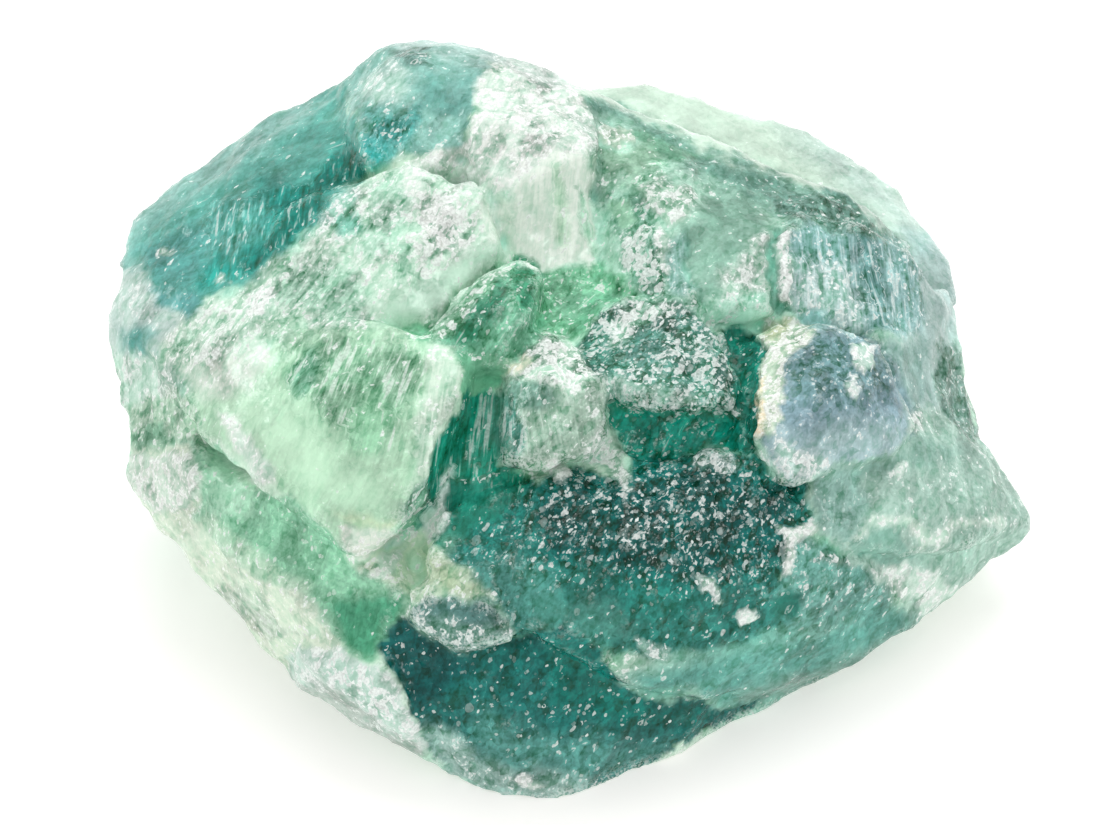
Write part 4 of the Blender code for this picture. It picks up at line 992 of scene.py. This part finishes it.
class Graph:
    """A material's nodes, with short ways to add and join them."""

    def __init__(self, name):
        self.material = bpy.data.materials.new(name)
        self.material.use_nodes = True
        self.tree = self.material.node_tree
        self.shader = self.tree.nodes["Principled BSDF"]
        self.output = self.tree.nodes["Material Output"]

    def add(self, kind, inputs=None, **settings):
        node = self.tree.nodes.new("ShaderNode" + kind)
        for setting, value in settings.items():
            setattr(node, setting, value)
        for socket, value in (inputs or {}).items():
            self.feed(node.inputs[socket], value)
        return node

    def feed(self, socket, value):
        if isinstance(value, bpy.types.NodeSocket):
            self.tree.links.new(value, socket)
        else:
            socket.default_value = value

    def attribute(self, name, output="Fac"):
        return self.add("Attribute", attribute_name=name).outputs[output]

    def math(self, operation, first, second=0.0, clamp=False):
        node = self.add("Math", {0: first, 1: second}, operation=operation)
        node.use_clamp = clamp
        return node.outputs[0]

    def noise(self, vector, scale, detail, roughness):
        return self.add("TexNoise", {
            "Vector": vector, "Scale": scale, "Detail": detail,
            "Roughness": roughness}).outputs["Fac"]

    def ramp(self, value, start, end, low=0.0, high=1.0):
        return self.add("MapRange", {
            "Value": value, "From Min": start, "From Max": end, "To Min": low,
            "To Max": high}, interpolation_type="SMOOTHSTEP").outputs["Result"]

    def mix(self, share, first, second):
        node = self.add("Mix", data_type="RGBA", clamp_factor=True)
        self.feed(node.inputs[0], share)
        self.feed(node.inputs[6], first)
        self.feed(node.inputs[7], second)
        return node.outputs[2]


def millimetres(graph):
    """Places on the object, counted in millimetres."""
    coordinates = graph.add("TexCoord").outputs["Object"]
    return graph.add("Mapping", {"Vector": coordinates, "Scale": (1000, 1000, 1000)}).outputs[0]


def fluorite_material():
    g = Graph("stone")
    place = millimetres(g)
    grain = g.attribute("grain", "Vector")
    tone = g.attribute("tone", "Vector")
    frost = g.attribute("frost")
    grit = g.attribute("grit")
    lines = g.attribute("lines")

    # The grains are a little longer along one cleavage direction, which is turned like this
    aligned = g.add("Mapping", {
        "Vector": place, "Rotation": (0.0, math.radians(-41.5), math.radians(48.1)),
        "Scale": (1.25, 0.9, 1.0)}, vector_type="TEXTURE").outputs[0]
    drawn_out = g.add("Mapping", {"Vector": grain, "Scale": (0.16, 2.0, 0.5)}).outputs[0]
    mottle = g.noise(aligned, 1.3, 2, 0.75)
    fine = g.noise(place, 4.2, 1, 0.6)
    streaks = g.noise(drawn_out, 1.0, 2, 0.65)
    bend = g.add("TexNoise", {"Vector": place, "Scale": 1.3, "Detail": 0.0}).outputs["Color"]
    bent = g.add("VectorMath", {0: bend, 1: (0.3, 0.3, 0.3), 2: aligned},
                 operation="MULTIPLY_ADD").outputs[0]

    # Angular grains in two sizes: random numbers for each, and how near its middle is
    coarse = g.add("TexVoronoi", {"Vector": bent, "Scale": 1.3})
    small = g.add("TexVoronoi", {"Vector": bent, "Scale": 3.2})
    coarse_chance = g.add("SeparateColor", {"Color": coarse.outputs["Color"]})
    small_chance = g.add("SeparateColor", {"Color": small.outputs["Color"]})
    # Broken white where the frost noise passes a level set by how frosted the patch is
    frost_noise = g.math("MULTIPLY", mottle, 0.6)
    frost_noise = g.math("ADD", frost_noise, g.math("MULTIPLY", coarse_chance.outputs[0], 0.2))
    frost_noise = g.math("ADD", frost_noise, g.math("MULTIPLY", small_chance.outputs[0], 0.2))
    level = g.math("SUBTRACT", 0.75, g.math("MULTIPLY", frost, 0.45))
    frosted = g.ramp(g.math("SUBTRACT", frost_noise, level), -0.01, 0.05)
    # Lines along the grain
    line_level = g.math("SUBTRACT", 0.79, g.math("MULTIPLY", lines, 0.25))
    lined = g.ramp(g.math("SUBTRACT", streaks, line_level), -0.02, 0.09)
    # Specks: some of the grains are white
    crowding = g.math("MULTIPLY", grit, g.ramp(mottle, 0.36, 0.64, 0.25, 1.6))
    crowding = g.math("MULTIPLY", crowding, g.math("ADD", g.math("MULTIPLY", grit, 0.85), 0.15))
    specks = []
    for cells, chance, share, size in ((coarse, coarse_chance, 0.13, 0.4),
                                       (small, small_chance, 0.4, 0.5)):
        chosen = g.math("LESS_THAN", chance.outputs[1], g.math("MULTIPLY", crowding, share))
        width = g.math("MULTIPLY", g.math("ADD", chance.outputs[2], 0.7), size)
        dot = g.ramp(g.math("SUBTRACT", width, cells.outputs["Distance"]), 0.0, 0.08)
        strength = g.math("ADD", g.math("POWER", chance.outputs[0], 1.7), 0.15)
        specks.append(g.math("MULTIPLY", g.math("MULTIPLY", dot, chosen), strength))
    speck = g.math("MAXIMUM", specks[0], specks[1])
    edge = g.math("MULTIPLY", g.attribute("worn"), g.ramp(fine, 0.38, 0.6), clamp=True)

    white = g.math("MAXIMUM", frosted, g.math("MULTIPLY", lined, 0.7))
    white = g.math("MAXIMUM", white, g.math("MULTIPLY", speck, 0.9))
    white = g.math("MAXIMUM", white, g.math("MULTIPLY", edge, 0.6), clamp=True)

    # The body colour, uneven from grain to grain
    paleness = g.add("SeparateXYZ", {"Vector": tone}).outputs["Y"]
    uneven = g.math("ADD", g.math("ADD", frost, grit), 0.2, clamp=True)
    uneven = g.math("MULTIPLY", uneven, g.math("SUBTRACT", 1.15, paleness))
    shade = g.math("ADD", g.ramp(mottle, 0.3, 0.7, -0.55, 0.5),
                   g.ramp(coarse_chance.outputs[0], 0.0, 1.0, -0.42, 0.42))
    shade = g.math("ADD", shade, g.ramp(small_chance.outputs[0], 0.0, 1.0, -0.22, 0.22))
    shade = g.math("ADD", g.math("MULTIPLY", shade, uneven), 1.09)
    shade = g.math("SUBTRACT", shade, g.math("MULTIPLY", paleness, 0.09))
    shade = g.math("SUBTRACT", shade, g.math("MULTIPLY", frost, 0.25))
    lining = g.math("MULTIPLY", g.ramp(streaks, 0.3, 0.7, -0.6, 0.6), lines)
    lining = g.math("MULTIPLY", lining, g.math("SUBTRACT", 1.2, paleness))
    shade = g.math("MAXIMUM", g.math("ADD", shade, lining), 0.25)
    # The darker the greener, because that light has come through more stone
    dimmed = g.math("MINIMUM", shade, 1.0)
    filtered = g.add("CombineXYZ", {
        "X": g.math("POWER", dimmed, 0.5), "Y": g.math("POWER", dimmed, -0.25),
        "Z": g.math("POWER", dimmed, 0.1)}).outputs[0]
    body = g.add("VectorMath", {0: tone, 1: filtered}, operation="MULTIPLY").outputs[0]
    body = g.add("VectorMath", {0: body, "Scale": shade}, operation="SCALE").outputs[0]
    chalk = g.math("ADD", g.ramp(fine, 0.3, 0.65, 0.52, 0.82),
                   g.math("MULTIPLY", small_chance.outputs[0], 0.2))
    chalky = g.add("CombineColor", {"Red": g.math("MULTIPLY", chalk, 0.94), "Green": chalk,
                                    "Blue": g.math("MULTIPLY", chalk, 0.97)}).outputs[0]
    broken = g.mix(0.25, chalky, tone)
    g.feed(g.shader.inputs["Base Color"], g.mix(white, body, broken))

    rough = g.math("ADD", 0.14, g.math("MULTIPLY", white, 0.35))
    rough = g.math("ADD", rough, g.math("MULTIPLY", mottle, 0.16))
    g.feed(g.shader.inputs["Roughness"], rough)
    clear = g.math("MULTIPLY", g.attribute("clear"), g.math("SUBTRACT", 1.0, white), clamp=True)
    g.feed(g.shader.inputs["Transmission Weight"], clear)

    relief = g.math("ADD", g.math("MULTIPLY", mottle, 0.6),
                    g.math("MULTIPLY", g.math("MULTIPLY", streaks, lines), 0.7))
    relief = g.math("MULTIPLY", relief, g.math("ADD", uneven, 0.25))
    for cells, height in ((coarse, 3.2), (small, 2.6)):
        offset = g.add("VectorMath", {0: bent, 1: cells.outputs["Position"]},
                       operation="SUBTRACT").outputs[0]
        slope = g.add("VectorMath", {0: cells.outputs["Color"], 1: (0.5, 0.5, 0.5)},
                      operation="SUBTRACT").outputs[0]
        tilt = g.add("VectorMath", {0: offset, 1: slope}, operation="DOT_PRODUCT").outputs["Value"]
        tilt = g.math("MULTIPLY", g.math("MULTIPLY", tilt, uneven), height)
        relief = g.math("ADD", relief, tilt)
    bump = g.add("Bump", {"Height": relief, "Strength": 0.8, "Distance": 0.00018})
    g.feed(g.shader.inputs["Normal"], bump.outputs[0])
    g.shader.inputs["IOR"].default_value = FLUORITE_IOR
    g.shader.inputs["Specular IOR Level"].default_value = 0.25
    absorb = g.add("VolumeAbsorption")
    absorb.inputs["Color"].default_value = PASSED_COLOUR
    absorb.inputs["Density"].default_value = ABSORPTION
    g.tree.links.new(absorb.outputs[0], g.output.inputs["Volume"])
    return g.material


def add_camera():
    data = bpy.data.cameras.new("camera")
    data.sensor_width = SENSOR_WIDTH
    data.lens = SENSOR_WIDTH * CAMERA_DISTANCE / PICTURE_WIDTH
    data.clip_start = 0.01
    camera = bpy.data.objects.new("camera", data)
    camera.location = (LOOKS_AT + NEAR * CAMERA_DISTANCE) * MM
    camera.rotation_mode = "QUATERNION"
    camera.rotation_quaternion = (-NEAR).to_track_quat("-Z", "Y")
    bpy.context.scene.collection.objects.link(camera)
    bpy.context.scene.camera = camera


def add_softbox(name, place, size, power):
    """A square white light that faces the stone, its place and side in metres."""
    data = bpy.data.lights.new(name, "AREA")
    data.size = size
    data.energy = power
    light = bpy.data.objects.new(name, data)
    light.location = place
    light.rotation_mode = "QUATERNION"
    light.rotation_quaternion = (LIGHTS_FACE - Vector(place)).to_track_quat("-Z", "Y")
    bpy.context.scene.collection.objects.link(light)
    return light


def add_table():
    mesh = bpy.data.meshes.new("table")
    half = TABLE_SIDE / 2
    corners = [(-half, -half, 0), (half, -half, 0), (half, half, 0), (-half, half, 0)]
    mesh.from_pydata(corners, [], [(0, 1, 2, 3)])
    table = bpy.data.objects.new("table", mesh)
    bpy.context.scene.collection.objects.link(table)
    material = bpy.data.materials.new("table")
    material.use_nodes = True
    shader = material.node_tree.nodes["Principled BSDF"]
    shader.inputs["Base Color"].default_value = (0.75, 0.75, 0.75, 1)
    shader.inputs["Roughness"].default_value = 0.9
    shader.inputs["Specular IOR Level"].default_value = 0.0
    shader.inputs["Emission Color"].default_value = (1.0, 0.97, 0.93, 1)
    shader.inputs["Emission Strength"].default_value = 0.4
    mesh.materials.append(material)


def add_light():
    world = bpy.data.worlds.new("studio")
    world.use_nodes = True
    background = world.node_tree.nodes["Background"]
    background.inputs["Color"].default_value = (1.0, 0.99, 0.98, 1)
    background.inputs["Strength"].default_value = 0.9
    bpy.context.scene.world = world
    add_softbox("key", (0.05, 0.42, 0.75), 0.6, 3.6)
    # Small lights that only the stone's shine picks up, as glints on its broken faces
    for name, place in (("left glint", (-0.5, 0.1, 0.45)), ("right glint", (0.4, -0.25, 0.6))):
        add_softbox(name, place, 0.2, 2.0).visible_diffuse = False
    bounces = bpy.context.scene.cycles
    bounces.max_bounces = 5
    bounces.diffuse_bounces = 2
    bounces.glossy_bounces = 2
    bounces.transmission_bounces = 4
    view = bpy.context.scene.view_settings
    view.view_transform = "Standard"
    view.look = "None"
    view.exposure = 0.0
    view.gamma = 1.0


def main():
    add_camera()
    add_light()
    add_table()
    stone = build_stone(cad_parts["fluorite"])
    stone.data.materials.clear()
    stone.data.materials.append(fluorite_material())
    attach(stone, "root")
    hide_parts("fluorite")


main()
